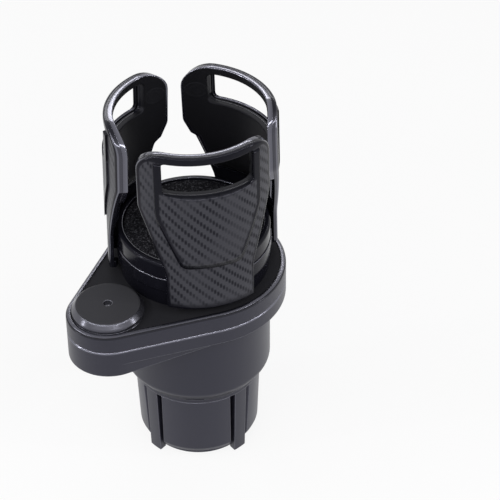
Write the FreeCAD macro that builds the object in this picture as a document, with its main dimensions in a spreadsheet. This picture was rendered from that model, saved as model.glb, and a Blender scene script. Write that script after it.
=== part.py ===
import FreeCAD, Part
import math
import os
import re

import Sketcher

# Cup holder expander: a foot that fits a car's cup holder, a cup above it, and a swinging
# arm whose three petals open around a wide bottle.
# Frame: millimetres, +Z up, origin on the axis of the cup at the bottom of the foot.
# The arm swings about a pivot on the -X side.

os.makedirs("parts", exist_ok=True)
doc = FreeCAD.newDocument("cup_holder_expander")

# Driving dimensions
sheet = doc.addObject("Spreadsheet::Sheet", "Sizes")
driving = {
    # plan of the plate
    "axis_distance": 65,
    "plate_radius": 52,
    "pivot_radius": 23.5,
    "cup_radius": 42.8,
    "wall": 2.4,
    # foot
    "foot_radius": 35.5,
    "foot_draft": 1.5,
    "sleeve_radius": 31.5,
    "foot_height": 46.3,
    "taper_top": 56,
    "taper_round": 5,
    "collar_height": 2.2,
    "collar_step": 0.3,
    "inner_rise": 1,
    "snap_slot_lift": 0.9,
    "snap_slot_height": 1.5,
    "snap_slot_half_width": 5.2,
    "snap_slot_depth": 1.6,
    "foot_floor": 11,
    "post_half_angle": 6.8,
    "wing_half_width": 19.9,
    "wing_half_angle": 40,
    "wing_inset": 0.3,
    "wing_chamfer": 1,
    "wing_top_gap": 0.8,
    "wing_bottom": 5.5,
    "wing_wall": 2.4,
    "wing_travel": 6,
    "stem_half_width": 4,
    "wing_pin_radius": 1.8,
    "wing_pin_circle": 13,
    "cam_thickness": 3,
    "cam_radius": 21.5,
    "dial_radius": 12,
    "axle_radius": 5,
    "cover_bottom": 0.6,
    "foot_screw_circle": 25.5,
    "grip_inner": 2,
    "grip_outer": 8,
    "grip_half_length": 6,
    "grip_depth": 1.8,
    "lower_pad_thickness": 2.6,
    # levels of the base and the arm
    "skirt_level": 95.3,
    "flange_level": 102.7,
    "seam_level": 112,
    "seam_gap": 0.3,
    "rim_level": 123,
    "rim_width": 2.8,
    "rim_depth": 0.8,
    "edge_round": 2,
    "seam_round": 1.2,
    "lip_round": 0.5,
    # pivot
    "bush_radius": 8,
    "bush_bottom": 98,
    "pivot_washer_radius": 14,
    "boss_height": 5.7,
    "boss_wall": 3.2,
    "pivot_screw_length": 12,
    "washer_thickness": 1,
    "cap_radius": 20.2,
    "cap_top_radius": 17.7,
    "cap_side": 2.8,
    "cap_height": 6.2,
    "cap_wall": 2.2,
    "cap_round": 1.2,
    "cap_groove_lift": 0.7,
    "cap_groove_height": 0.5,
    "cap_groove_depth": 0.6,
    "cap_hole_radius": 2.5,
    "cap_hole_depth": 1.6,
    # platform and turning tray
    "neck_radius": 42.3,
    "band_radius": 43.7,
    "band_lift": 1.3,
    "band_height": 8.4,
    "ring_radius": 43.2,
    "ring_height": 10.2,
    "ring_round": 1.8,
    "disc_radius": 38.5,
    "disc_lift": 0.2,
    "disc_thickness": 3.6,
    "scroll_gap": 1.4,
    "tray_post_radius": 7.7,
    "tray_hub_radius": 12,
    "tray_lift": 3.4,
    "hub_plate": 0.8,
    "thin_washer": 0.6,
    "thin_head": 0.7,
    "tray_screw_length": 9.6,
    "arm_screw_circle": 36,
    "platform_screw_circle": 27,
    "pad_radius": 39.4,
    "pad_thickness": 3.6,
    # petals
    "petal_foot_radius": 49,
    "petal_lean": 2,
    "petal_wall": 2.6,
    "liner_wall": 2.7,
    "liner_inset": 2.4,
    "liner_round": 0.8,
    "petal_round": 1.4,
    "liner_height": 45.3,
    "guide_rise": 1.9,
    "petal_height": 99.8,
    "head_half_width": 36.9,
    "head_height": 36.3,
    "stem_half_chord": 24.8,
    "stem_height": 22.5,
    "shoulder_round": 13,
    "window_half_width": 24.6,
    "window_bar": 4.8,
    "window_height": 19.1,
    "window_round": 3,
    "heel_inner": 38.8,
    "heel_outer": 42.8,
    "heel_start": 19.5,
    "heel_width": 4,
    "heel_height": 4.5,
    "petal_travel": 8,
    "slide_half_width": 7,
    "slide_thickness": 5,
    "slide_inner": 16,
    "petal_pin_radius": 2.2,
    "petal_pin_circle": 22,
    "trim_thickness": 1,
    "trim_round": 0.5,
    "glue_line": 0.1,
    "trim_top_half_width": 27.9,
    "trim_bottom_half_width": 16,
    "trim_waist_half_width": 19.5,
    "trim_lift": 29.7,
    "trim_foot": 8.8,
    "trim_shoulder": 14.4,
    # fastenings and clearances
    "screw_radius": 1.9,
    "screw_head_radius": 3.6,
    "screw_head": 1.6,
    "small_screw_radius": 1.2,
    "small_head_radius": 2.6,
    "small_head_inset": 0.3,
    "small_boss_radius": 3.4,
    "small_screw_length": 5,
    "small_bore_depth": 6,
    "root": 0.5,
    "running": 0.08,
    "end_play": 0.2,
    "slide_play": 0.15,
    "slot_play": 0.4,
    "seat_gap": 0.4,
}
for row, (name, value) in enumerate(driving.items(), start=1):
    sheet.set("A%d" % row, name)
    sheet.set("B%d" % row, str(value))
    sheet.setAlias("B%d" % row, name)
doc.recompute()

SCROLL_TURN = 100.0
CAM_TURN = 75.0
WING_COUNT = 4
WING_FIRST_ANGLE = 45.0
PETAL_COUNT = 3
ARM_SCREW_COUNT = 3
TOUCHING = 0.01


def size(name):
    """Value of one driving dimension."""
    return float(sheet.get(name))


def bound(text):
    """Expression text with each dimension's name pointing at the sheet."""
    return re.sub(r"[a-z][a-z_]*", lambda word: "Sizes." + word.group(0), text)


def new_body(name):
    body = doc.addObject("PartDesign::Body", name)
    body.Label = name
    return body


def new_sketch(body, name, plane, level=None):
    """Sketch on one of the body's own origin planes, raised by an expression."""
    sketch = body.newObject("Sketcher::SketchObject", name)
    origin_plane = next(f for f in body.Origin.OriginFeatures if f.Role == plane)
    sketch.AttachmentSupport = (origin_plane, [""])
    sketch.MapMode = "FlatFace"
    if level is not None:
        sketch.setExpression(".AttachmentOffset.Base.z", bound(level))
    return sketch


def value_of(text):
    """Number that an expression of the sheet's names gives now."""
    return float(sheet.evalExpression(bound(text)))


def pin_point(sketch, geometry, vertex, across, up):
    """Tie one point of a sketch to a pair of expressions."""
    for kind, text in (("DistanceX", across), ("DistanceY", up)):
        if text == "0":
            axis = -2 if kind == "DistanceX" else -1
            sketch.addConstraint(Sketcher.Constraint("PointOnObject", geometry, vertex, axis))
            continue
        rule = Sketcher.Constraint(kind, -1, 1, geometry, vertex, value_of(text))
        index = sketch.addConstraint(rule)
        sketch.setExpression("Constraints[%d]" % index, bound(text))


def add_polygon(sketch, corners):
    """Closed outline through corners given as pairs of expressions.

    A third expression rounds its corner: an arc touches both sides, and a point on
    both sides keeps the place of the sharp corner.
    """
    count = len(corners)
    places = [FreeCAD.Vector(value_of(c[0]), value_of(c[1]), 0) for c in corners]
    before, after, arcs = [], [], {}
    for i, corner in enumerate(corners):
        here = places[i]
        if len(corner) == 2:
            before.append(here)
            after.append(here)
            continue
        back = (places[i - 1] - here).normalize()
        ahead = (places[(i + 1) % count] - here).normalize()
        radius = value_of(corner[2])
        reach = radius / math.tan(back.getAngle(ahead) / 2)
        middle = here + (back + ahead).normalize() * math.hypot(radius, reach)
        near = middle + (here - middle).normalize() * radius
        before.append(here + back * reach)
        after.append(here + ahead * reach)
        arcs[i] = Part.Arc(before[i], near, after[i])
    lines = {}
    for i in range(count):
        side = Part.LineSegment(after[i], before[(i + 1) % count])
        lines[i] = sketch.addGeometry(side, False)
    for i, corner in enumerate(corners):
        incoming, outgoing = lines[(i - 1) % count], lines[i]
        if len(corner) == 2:
            sketch.addConstraint(Sketcher.Constraint("Coincident", incoming, 2, outgoing, 1))
            pin_point(sketch, outgoing, 1, corner[0], corner[1])
            continue
        arc = sketch.addGeometry(arcs[i], False)
        start, end = sketch.getPoint(arc, 1), sketch.getPoint(arc, 2)
        first, last = (1, 2) if (start - before[i]).Length < (end - before[i]).Length else (2, 1)
        sketch.addConstraint([
            Sketcher.Constraint("Tangent", incoming, 2, arc, first),
            Sketcher.Constraint("Tangent", arc, last, outgoing, 1),
        ])
        index = sketch.addConstraint(Sketcher.Constraint("Radius", arc, value_of(corner[2])))
        sketch.setExpression("Constraints[%d]" % index, bound(corner[2]))
        sharp = sketch.addGeometry(Part.Point(places[i]), True)
        sketch.addConstraint([
            Sketcher.Constraint("PointOnObject", sharp, 1, incoming),
            Sketcher.Constraint("PointOnObject", sharp, 1, outgoing),
        ])
        pin_point(sketch, sharp, 1, corner[0], corner[1])


def add_circle(sketch, radius, across="0", up="0"):
    """Circle of an expression's radius, centred at a pair of expressions."""
    middle = FreeCAD.Vector(value_of(across), value_of(up), 0)
    circle_form = Part.Circle(middle, FreeCAD.Vector(0, 0, 1), value_of(radius))
    index = sketch.addGeometry(circle_form, False)
    if across == "0" and up == "0":
        sketch.addConstraint(Sketcher.Constraint("Coincident", index, 3, -1, 1))
    else:
        pin_point(sketch, index, 3, across, up)
    wide = sketch.addConstraint(Sketcher.Constraint("Radius", index, value_of(radius)))
    sketch.setExpression("Constraints[%d]" % wide, bound(radius))


def add_teardrop(sketch, large_text, small_text):
    """Plan outline: a large and a small arc joined by their two tangents."""
    far, large, small = value_of("axis_distance"), value_of(large_text), value_of(small_text)
    lean = math.acos((small - large) / far)
    up = FreeCAD.Vector(0, 0, 1)
    large_circle = Part.Circle(FreeCAD.Vector(0, 0, 0), up, large)
    small_circle = Part.Circle(FreeCAD.Vector(-far, 0, 0), up, small)
    large_arc = Part.ArcOfCircle(large_circle, -lean, lean)
    small_arc = Part.ArcOfCircle(small_circle, lean, 2 * math.pi - lean)
    top = Part.LineSegment(large_arc.EndPoint, small_arc.StartPoint)
    bottom = Part.LineSegment(small_arc.EndPoint, large_arc.StartPoint)
    wide, above, narrow, below = sketch.addGeometry([large_arc, top, small_arc, bottom], False)
    sketch.addConstraint([
        Sketcher.Constraint("Coincident", wide, 3, -1, 1),
        Sketcher.Constraint("PointOnObject", narrow, 3, -1),
        Sketcher.Constraint("Tangent", wide, 2, above, 1),
        Sketcher.Constraint("Tangent", above, 2, narrow, 1),
        Sketcher.Constraint("Tangent", narrow, 2, below, 1),
        Sketcher.Constraint("Tangent", below, 2, wide, 1),
    ])
    for rule, text in (
        (Sketcher.Constraint("DistanceX", narrow, 3, -1, 1, far), "axis_distance"),
        (Sketcher.Constraint("Radius", wide, large), large_text),
        (Sketcher.Constraint("Radius", narrow, small), small_text),
    ):
        index = sketch.addConstraint(rule)
        sketch.setExpression("Constraints[%d]" % index, bound(text))


def teardrop(body, name, level, large, small):
    sketch = new_sketch(body, name, "XY_Plane", level)
    add_teardrop(sketch, large, small)
    return sketch


def polygon(body, name, plane, corners, level=None):
    sketch = new_sketch(body, name, plane, level)
    add_polygon(sketch, corners)
    return sketch


def circle(body, name, level, radius, across="0", up="0"):
    sketch = new_sketch(body, name, "XY_Plane", level)
    add_circle(sketch, radius, across, up)
    return sketch


def box_outline(low_x, high_x, low_y, high_y):
    """Corners of an upright rectangle."""
    return [(low_x, low_y), (low_x, high_y), (high_x, high_y), (high_x, low_y)]


def extrude(body, kind, name, sketch, length, upward=True):
    """Pad or Pocket of a sketch; upward is along the sketch's normal."""
    feature = body.newObject("PartDesign::" + kind, name)
    feature.Profile = sketch
    feature.setExpression("Length", bound(length))
    feature.Reversed = upward if kind == "Pocket" else not upward
    sketch.Visibility = False
    return feature


def pad(body, name, sketch, length, upward=True):
    return extrude(body, "Pad", name, sketch, length, upward)


def pocket(body, name, sketch, length, upward=True):
    return extrude(body, "Pocket", name, sketch, length, upward)


def turned(body, kind, name, corners, half_angle=None):
    """Revolution or Groove of a profile in the XZ plane about the Z axis."""
    sketch = polygon(body, name + "_profile", "XZ_Plane", corners)
    feature = body.newObject("PartDesign::" + kind, name)
    feature.Profile = sketch
    feature.ReferenceAxis = (sketch, ["V_Axis"])
    if half_angle is None:
        feature.Angle = 360
    else:
        feature.Midplane = True
        feature.setExpression("Angle", "2 * (" + bound(half_angle) + ")")
    sketch.Visibility = False
    return feature


def around(body, name, originals, count):
    """Polar pattern of features about the body's Z axis."""
    pattern = body.newObject("PartDesign::PolarPattern", name)
    pattern.Originals = originals
    axis = next(f for f in body.Origin.OriginFeatures if f.Role == "Z_Axis")
    pattern.Axis = (axis, [""])
    pattern.Angle = 360
    pattern.Occurrences = count
    body.Tip = pattern
    return pattern


def round_edges(body, kind, name, amount, chosen):
    """Fillet or Chamfer of the tip's edges that a test picks."""
    doc.recompute()
    base = body.Tip
    names = []
    for number, edge in enumerate(base.Shape.Edges, start=1):
        if chosen(edge):
            names.append("Edge%d" % number)
    if not names:
        raise RuntimeError("no edge for " + name)
    feature = body.newObject("PartDesign::" + kind, name)
    feature.Base = (base, names)
    feature.setExpression("Radius" if kind == "Fillet" else "Size", bound(amount))
    return feature


def flat_at(edge, level):
    """True for an edge that lies wholly at one height."""
    box = edge.BoundBox
    return abs(box.ZMin - level) < TOUCHING and abs(box.ZMax - level) < TOUCHING


def ring_at(edge, level, radius):
    """True for a circular edge about the cup's axis at a height."""
    if not flat_at(edge, level) or not isinstance(edge.Curve, Part.Circle):
        return False
    middle = edge.Curve.Center
    return abs(edge.Curve.Radius - radius) < TOUCHING and math.hypot(middle.x, middle.y) < TOUCHING


def feature_part(name, shape):
    """Part whose form comes from a formula."""
    part = doc.addObject("Part::Feature", name)
    part.Label = name
    part.Shape = shape
    return part


def spiral_slot(start_radius, travel, turn, half_width, bottom, height, angle):
    """Solid along an Archimedean spiral: the path of a pin that a turn moves out evenly."""
    steps = 8
    inner, outer = [], []
    for step in range(steps + 1):
        share = step / steps
        radius = start_radius + travel * share
        bearing = math.radians(angle - turn * share)
        along = FreeCAD.Vector(
            travel * math.cos(bearing) + radius * math.radians(turn) * math.sin(bearing),
            travel * math.sin(bearing) - radius * math.radians(turn) * math.cos(bearing),
            0,
        )
        along.normalize()
        side = FreeCAD.Vector(-along.y, along.x, 0) * half_width
        middle = FreeCAD.Vector(radius * math.cos(bearing), radius * math.sin(bearing), bottom)
        inner.append(middle - side)
        outer.append(middle + side)
        if step == 0:
            start_cap = middle - along * half_width
        if step == steps:
            end_cap = middle + along * half_width
    inner_curve = Part.BSplineCurve()
    inner_curve.interpolate(inner)
    outer_curve = Part.BSplineCurve()
    outer_curve.interpolate(outer)
    edges = [
        inner_curve.toShape(),
        Part.Arc(inner[-1], end_cap, outer[-1]).toShape(),
        outer_curve.toShape(),
        Part.Arc(outer[0], start_cap, inner[0]).toShape(),
    ]
    face = Part.Face(Part.Wire(Part.__sortEdges__(edges)))
    return face.extrude(FreeCAD.Vector(0, 0, height))


def slotted_disc(level, thickness, radius, bore, pin_circle, travel, turn, pin_radius, angles):
    """Flat disc with one spiral slot for each pin that it drives."""
    place = FreeCAD.Vector(0, 0, value_of(level))
    disc = Part.makeCylinder(radius, thickness, place)
    disc = disc.cut(Part.makeCylinder(bore, thickness, place))
    half_width = pin_radius + size("slot_play")
    for angle in angles:
        slot = spiral_slot(pin_circle, travel, turn, half_width, place.z, thickness, angle)
        disc = disc.cut(slot)
    return disc


# Lower assembly: base cup

foot_floor_top = "foot_floor + wall"
cup_inner = "cup_radius - wall"
sleeve_inner = "sleeve_radius - wall"
collar = "foot_radius + foot_draft + collar_step"
collar_top = "foot_height + collar_height"
cover_top = "cover_bottom + wall"
cam_level = cover_top + " + end_play"
stem_level = cam_level + " + cam_thickness + end_play"

base_cup = new_body("base_cup")
flange_plan = teardrop(base_cup, "flange_plan", "flange_level", "plate_radius", "pivot_radius")
pad(base_cup, "flange", flange_plan, "seam_level - flange_level")
round_edges(base_cup, "Fillet", "seam_fillet", "seam_round",
            lambda edge: flat_at(edge, size("seam_level")))
under_plan = teardrop(base_cup, "under_plan", "flange_level", "plate_radius - wall", "pivot_radius - wall")
pocket(base_cup, "flange_hollow", under_plan, "seam_level - wall - flange_level")
skirt_plan = teardrop(base_cup, "skirt_plan", "skirt_level", "cup_radius", "pivot_radius")
add_teardrop(skirt_plan, "cup_radius - wall", "pivot_radius - wall")
pad(base_cup, "skirt", skirt_plan, "seam_level - wall - skirt_level")
turned(base_cup, "Revolution", "cup_wall", [
    ("0", "foot_floor"),
    ("sleeve_radius", "foot_floor"),
    ("sleeve_radius", "foot_height"),
    (collar, "foot_height"),
    (collar, collar_top),
    ("cup_radius", "taper_top", "taper_round"),
    ("cup_radius", "seam_level"),
    (cup_inner, "seam_level"),
    (cup_inner, "taper_top + inner_rise"),
    (sleeve_inner, collar_top),
    (sleeve_inner, foot_floor_top),
    ("0", foot_floor_top),
])
mouth_plan = circle(base_cup, "cup_mouth_plan", "taper_top + inner_rise", cup_inner)
pocket(base_cup, "cup_mouth", mouth_plan, "seam_level - taper_top")

pivot_boss = circle(base_cup, "pivot_boss_plan", "skirt_level", "bush_radius + boss_wall", "-axis_distance")
pad(base_cup, "pivot_boss", pivot_boss, "seam_level - skirt_level")
bush_hole = circle(base_cup, "bush_hole_plan", "skirt_level", "bush_radius", "-axis_distance")
pocket(base_cup, "bush_hole", bush_hole, "seam_level - skirt_level")
washer_seat = circle(base_cup, "washer_seat_plan", "seam_level - washer_thickness", "pivot_washer_radius",
                     "-axis_distance")
pocket(base_cup, "washer_seat", washer_seat, "washer_thickness")

turned(base_cup, "Revolution", "foot_post", [
    ("sleeve_radius - root", "0"),
    ("foot_radius", "0"),
    ("foot_radius + foot_draft", "foot_height + root"),
    ("sleeve_radius - root", "foot_height + root"),
], "post_half_angle")
post = base_cup.Tip
around(base_cup, "foot_posts", [post], WING_COUNT)
foot_boss = circle(base_cup, "foot_boss_plan", cover_top, "small_boss_radius", "foot_screw_circle")
boss_pad = pad(base_cup, "foot_boss", foot_boss, "foot_floor - cover_bottom - wall")
around(base_cup, "foot_bosses", [boss_pad], WING_COUNT)
boss_bore = circle(base_cup, "boss_bore_plan", cover_top, "small_screw_radius", "foot_screw_circle")
bore_pocket = pocket(base_cup, "boss_bore", boss_bore, "small_bore_depth")
around(base_cup, "boss_bores", [bore_pocket], WING_COUNT)
axle_boss = new_sketch(base_cup, "axle_boss_plan", "XY_Plane", stem_level)
add_circle(axle_boss, "axle_radius + running + wall")
add_circle(axle_boss, "axle_radius + running")
pad(base_cup, "axle_boss", axle_boss, "foot_floor - (" + stem_level + ")")

slot_level = collar_top + " + snap_slot_lift"
snap_slot = new_sketch(base_cup, "snap_slot_plan", "XY_Plane", slot_level)
wing_turn = FreeCAD.Rotation(FreeCAD.Vector(0, 0, 1), WING_FIRST_ANGLE)
snap_slot.AttachmentOffset = FreeCAD.Placement(FreeCAD.Vector(0, 0, value_of(slot_level)), wing_turn)
add_polygon(snap_slot, box_outline(collar + " - snap_slot_depth", "cup_radius",
                                   "-snap_slot_half_width", "snap_slot_half_width"))
slot_pocket = pocket(base_cup, "snap_slot", snap_slot, "snap_slot_height")
around(base_cup, "snap_slots", [slot_pocket], WING_COUNT)

foot_cover = new_body("foot_cover")
cover_plan = circle(foot_cover, "cover_plan", "cover_bottom", "sleeve_radius - root - seat_gap")
pad(foot_cover, "cover_plate", cover_plan, "wall")
dial_hole = circle(foot_cover, "dial_hole_plan", "cover_bottom", "dial_radius + slot_play")
pocket(foot_cover, "dial_hole", dial_hole, "wall")
cover_hole = circle(foot_cover, "cover_hole_plan", "cover_bottom", "small_head_radius", "foot_screw_circle")
hole_pocket = pocket(foot_cover, "cover_hole", cover_hole, "wall")
around(foot_cover, "cover_holes", [hole_pocket], WING_COUNT)

foot_screws = new_body("foot_cover_screws")
foot_head = circle(foot_screws, "foot_head_plan", "cover_bottom + small_head_inset", "small_head_radius",
                   "foot_screw_circle")
foot_head_pad = pad(foot_screws, "foot_head", foot_head, "wall - small_head_inset")
foot_shank = circle(foot_screws, "foot_shank_plan", cover_top, "small_screw_radius", "foot_screw_circle")
foot_shank_pad = pad(foot_screws, "foot_shank", foot_shank, "small_screw_length")
around(foot_screws, "foot_screw_set", [foot_head_pad, foot_shank_pad], WING_COUNT)

lower_pad = new_body("lower_pad")
lower_pad_plan = circle(lower_pad, "lower_pad_plan", foot_floor_top, sleeve_inner + " - seat_gap")
pad(lower_pad, "lower_foam", lower_pad_plan, "lower_pad_thickness")

# Expanding foot: dial, cam and wings

foot_dial = new_body("foot_dial")
turned(foot_dial, "Revolution", "dial_form", [
    ("0", "cover_bottom"),
    ("dial_radius", "cover_bottom"),
    ("dial_radius", cam_level),
    ("axle_radius", cam_level),
    ("axle_radius", "foot_floor - end_play"),
    ("0", "foot_floor - end_play"),
])
for name, low, high in (
    ("grip_right", "grip_inner", "grip_outer"),
    ("grip_left", "-grip_outer", "-grip_inner"),
):
    grip = new_sketch(foot_dial, name + "_plan", "XY_Plane", "cover_bottom")
    add_polygon(grip, box_outline(low, high, "-grip_half_length", "grip_half_length"))
    pocket(foot_dial, name, grip, "grip_depth")

cam_angles = [WING_FIRST_ANGLE + 360.0 * i / WING_COUNT for i in range(WING_COUNT)]
foot_cam = slotted_disc(
    cam_level, size("cam_thickness"), size("cam_radius"), size("axle_radius"),
    size("wing_pin_circle"), size("wing_travel"), CAM_TURN, size("wing_pin_radius"), cam_angles)
feature_part("foot_cam", foot_cam)


def make_wing(number):
    """Arc of the foot's wall on a radial stem whose pin rides in the cam."""
    wing = new_body("foot_wing_%d" % number)
    outer_foot = "foot_radius - wing_inset"
    outer_top = "foot_radius + foot_draft - wing_inset"
    wing_top = "foot_height - wing_top_gap"
    turned(wing, "Revolution", "wing_wall_form", [
        (outer_foot + " - wing_wall", "wing_bottom"),
        (outer_foot + " - wing_chamfer", "wing_bottom"),
        (outer_foot, "wing_bottom + wing_wall"),
        (outer_top, wing_top),
        (outer_top + " - wing_wall", wing_top),
    ], "wing_half_angle")
    sides = new_sketch(wing, "wing_sides_plan", "XY_Plane", "wing_bottom")
    add_polygon(sides, box_outline("0", "cup_radius", "wing_half_width", "cup_radius"))
    add_polygon(sides, box_outline("0", "cup_radius", "-cup_radius", "-wing_half_width"))
    pocket(wing, "wing_sides", sides, "foot_height")
    stem = new_sketch(wing, "stem_plan", "XY_Plane", stem_level)
    add_polygon(stem, box_outline("wing_pin_circle - stem_half_width", "foot_radius - wing_wall + root",
                                  "-stem_half_width", "stem_half_width"))
    pad(wing, "stem", stem, "foot_floor - slide_play - (" + stem_level + ")")
    pin = circle(wing, "wing_pin_plan", stem_level, "wing_pin_radius", "wing_pin_circle")
    pad(wing, "wing_pin", pin, "cam_thickness", upward=False)
    turn = FreeCAD.Rotation(FreeCAD.Vector(0, 0, 1), cam_angles[number - 1])
    wing.Placement = FreeCAD.Placement(FreeCAD.Vector(0, 0, 0), turn)
    return wing


for number in range(1, WING_COUNT + 1):
    make_wing(number)

# Pivot

bush_top = "seam_level + seam_gap + boss_height + end_play"
pivot_bush = new_body("pivot_bush")
bush_plan = circle(pivot_bush, "bush_plan", "bush_bottom", "bush_radius", "-axis_distance")
pad(pivot_bush, "bush", bush_plan, bush_top + " - bush_bottom")
bush_bore = circle(pivot_bush, "bush_bore_plan", bush_top, "screw_radius", "-axis_distance")
pocket(pivot_bush, "bush_bore", bush_bore, "pivot_screw_length", upward=False)

slide_washer = new_body("slide_washer")
slide_washer_plan = new_sketch(slide_washer, "slide_washer_plan", "XY_Plane", "seam_level - washer_thickness")
add_circle(slide_washer_plan, "pivot_washer_radius", "-axis_distance")
add_circle(slide_washer_plan, "bush_radius", "-axis_distance")
pad(slide_washer, "slide_washer_ring", slide_washer_plan, "washer_thickness + seam_gap")

pivot_washer = new_body("pivot_washer")
pivot_washer_plan = new_sketch(pivot_washer, "pivot_washer_plan", "XY_Plane", bush_top)
add_circle(pivot_washer_plan, "bush_radius + boss_wall", "-axis_distance")
add_circle(pivot_washer_plan, "screw_radius", "-axis_distance")
pad(pivot_washer, "pivot_washer_ring", pivot_washer_plan, "washer_thickness")

pivot_screw = new_body("pivot_screw")
pivot_head_level = bush_top + " + washer_thickness"
pivot_head = circle(pivot_screw, "pivot_head_plan", pivot_head_level, "screw_head_radius", "-axis_distance")
pad(pivot_screw, "pivot_head", pivot_head, "screw_head")
pivot_shank = circle(pivot_screw, "pivot_shank_plan", pivot_head_level, "screw_radius", "-axis_distance")
pad(pivot_screw, "pivot_shank", pivot_shank, "pivot_screw_length", upward=False)

# Swinging arm

arm_bottom_level = "seam_level + seam_gap"
arm_floor = "rim_level - rim_depth"
arm_under = arm_floor + " - wall"
arm_cover_top = arm_bottom_level + " + wall"

arm_top = new_body("arm_top")
arm_plan = teardrop(arm_top, "arm_plan", arm_bottom_level, "plate_radius", "pivot_radius")
pad(arm_top, "arm_block", arm_plan, "rim_level - (" + arm_bottom_level + ")")
round_edges(arm_top, "Fillet", "arm_rim_fillet", "edge_round",
            lambda edge: flat_at(edge, size("rim_level")))
round_edges(arm_top, "Fillet", "arm_lip_fillet", "lip_round",
            lambda edge: flat_at(edge, value_of(arm_bottom_level)))
arm_hollow = teardrop(arm_top, "arm_hollow_plan", arm_bottom_level,
                      "plate_radius - wall", "pivot_radius - wall")
pocket(arm_top, "arm_hollow", arm_hollow, arm_under + " - (" + arm_bottom_level + ")")
arm_recess = teardrop(arm_top, "arm_recess_plan", arm_floor,
                      "plate_radius - rim_width", "pivot_radius - rim_width")
pocket(arm_top, "arm_recess", arm_recess, "rim_depth")
cap_seat = circle(arm_top, "cap_seat_plan", arm_under, "cap_top_radius - wall", "-axis_distance")
pocket(arm_top, "cap_seat", cap_seat, "wall")
arm_boss = circle(arm_top, "arm_boss_plan", arm_cover_top, "small_boss_radius", "arm_screw_circle")
arm_boss_pad = pad(arm_top, "arm_boss", arm_boss, arm_under + " - (" + arm_cover_top + ")")
around(arm_top, "arm_bosses", [arm_boss_pad], ARM_SCREW_COUNT)
arm_bore = circle(arm_top, "arm_bore_plan", arm_cover_top, "small_screw_radius", "arm_screw_circle")
arm_bore_pocket = pocket(arm_top, "arm_bore", arm_bore, "small_bore_depth")
around(arm_top, "arm_bores", [arm_bore_pocket], ARM_SCREW_COUNT)

arm_bottom = new_body("arm_bottom")
arm_bottom_plan = teardrop(arm_bottom, "arm_bottom_plan", arm_bottom_level,
                           "plate_radius - wall", "pivot_radius - wall")
pad(arm_bottom, "arm_cover", arm_bottom_plan, "wall")
arm_pivot_boss = circle(arm_bottom, "arm_pivot_boss_plan", arm_bottom_level,
                        "bush_radius + boss_wall", "-axis_distance")
pad(arm_bottom, "arm_pivot_boss", arm_pivot_boss, "boss_height")
arm_pivot_bore = circle(arm_bottom, "arm_pivot_bore_plan", arm_bottom_level,
                        "bush_radius + running", "-axis_distance")
pocket(arm_bottom, "arm_pivot_bore", arm_pivot_bore, "boss_height")
arm_hole = circle(arm_bottom, "arm_hole_plan", arm_bottom_level, "small_head_radius", "arm_screw_circle")
arm_hole_pocket = pocket(arm_bottom, "arm_hole", arm_hole, "wall")
around(arm_bottom, "arm_holes", [arm_hole_pocket], ARM_SCREW_COUNT)

arm_screws = new_body("arm_screws")
arm_head = circle(arm_screws, "arm_head_plan", arm_bottom_level + " + small_head_inset", "small_head_radius",
                  "arm_screw_circle")
arm_head_pad = pad(arm_screws, "arm_head", arm_head, "wall - small_head_inset")
arm_shank = circle(arm_screws, "arm_shank_plan", arm_cover_top, "small_screw_radius", "arm_screw_circle")
arm_shank_pad = pad(arm_screws, "arm_shank", arm_shank, "small_screw_length")
around(arm_screws, "arm_screw_set", [arm_head_pad, arm_shank_pad], ARM_SCREW_COUNT)

# The cap is drawn about its own axis and then moved over the pivot.
pivot_cap = new_body("pivot_cap")
cap_top = arm_floor + " + cap_height"
cap_groove = arm_floor + " + cap_groove_lift"
turned(pivot_cap, "Revolution", "cap_form", [
    ("0", cap_top + " - cap_wall"),
    ("cap_top_radius - wall - cap_wall", cap_top + " - cap_wall"),
    ("cap_top_radius - wall - cap_wall", arm_under),
    ("cap_top_radius - wall", arm_under),
    ("cap_top_radius - wall", arm_floor),
    ("cap_radius", arm_floor),
    ("cap_radius", cap_groove),
    ("cap_radius - cap_groove_depth", cap_groove),
    ("cap_radius - cap_groove_depth", cap_groove + " + cap_groove_height"),
    ("cap_radius", cap_groove + " + cap_groove_height"),
    ("cap_radius", arm_floor + " + cap_side", "cap_round"),
    ("cap_top_radius", cap_top, "2 * cap_round"),
    ("0", cap_top),
])
cap_hole = circle(pivot_cap, "cap_hole_plan", cap_top + " - cap_hole_depth", "cap_hole_radius")
pocket(pivot_cap, "cap_hole", cap_hole, "cap_hole_depth")
pivot_cap.setExpression(".Placement.Base.x", "-" + bound("axis_distance"))

# Platform and turning tray

drum_inner = "disc_radius + scroll_gap"
platform_floor_top = arm_floor + " + wall"
petal_bottom = platform_floor_top + " + guide_rise"
slide_top = petal_bottom + " + slide_thickness"
band_bottom = slide_top + " + band_lift"
band_top = band_bottom + " + band_height"
disc_bottom = band_bottom + " + disc_lift"
disc_top = disc_bottom + " + disc_thickness"
tray_plate_bottom = band_top + " + tray_lift"
tray_plate_top = tray_plate_bottom + " + wall"
ring_top = band_top + " + ring_height"
post_top = tray_plate_bottom + " + hub_plate + end_play"
platform_base = new_body("platform_base")
turned(platform_base, "Revolution", "platform_form", [
    ("0", arm_floor),
    ("neck_radius", arm_floor),
    ("neck_radius", band_bottom),
    ("band_radius", band_bottom),
    ("band_radius", band_top),
    (drum_inner, band_top),
    (drum_inner, platform_floor_top),
    ("tray_hub_radius", platform_floor_top),
    ("tray_hub_radius", disc_bottom),
    ("tray_post_radius", disc_bottom),
    ("tray_post_radius", post_top),
    ("0", post_top),
])
guide_plan = new_sketch(platform_base, "guide_plan", "XY_Plane", platform_floor_top)
add_polygon(guide_plan, box_outline("tray_hub_radius - root", drum_inner + " + root",
                                    "-slide_half_width - wall", "slide_half_width + wall"))
guide = pad(platform_base, "guide", guide_plan, slide_top + " - (" + platform_floor_top + ")")
around(platform_base, "guides", [guide], PETAL_COUNT)
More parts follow.
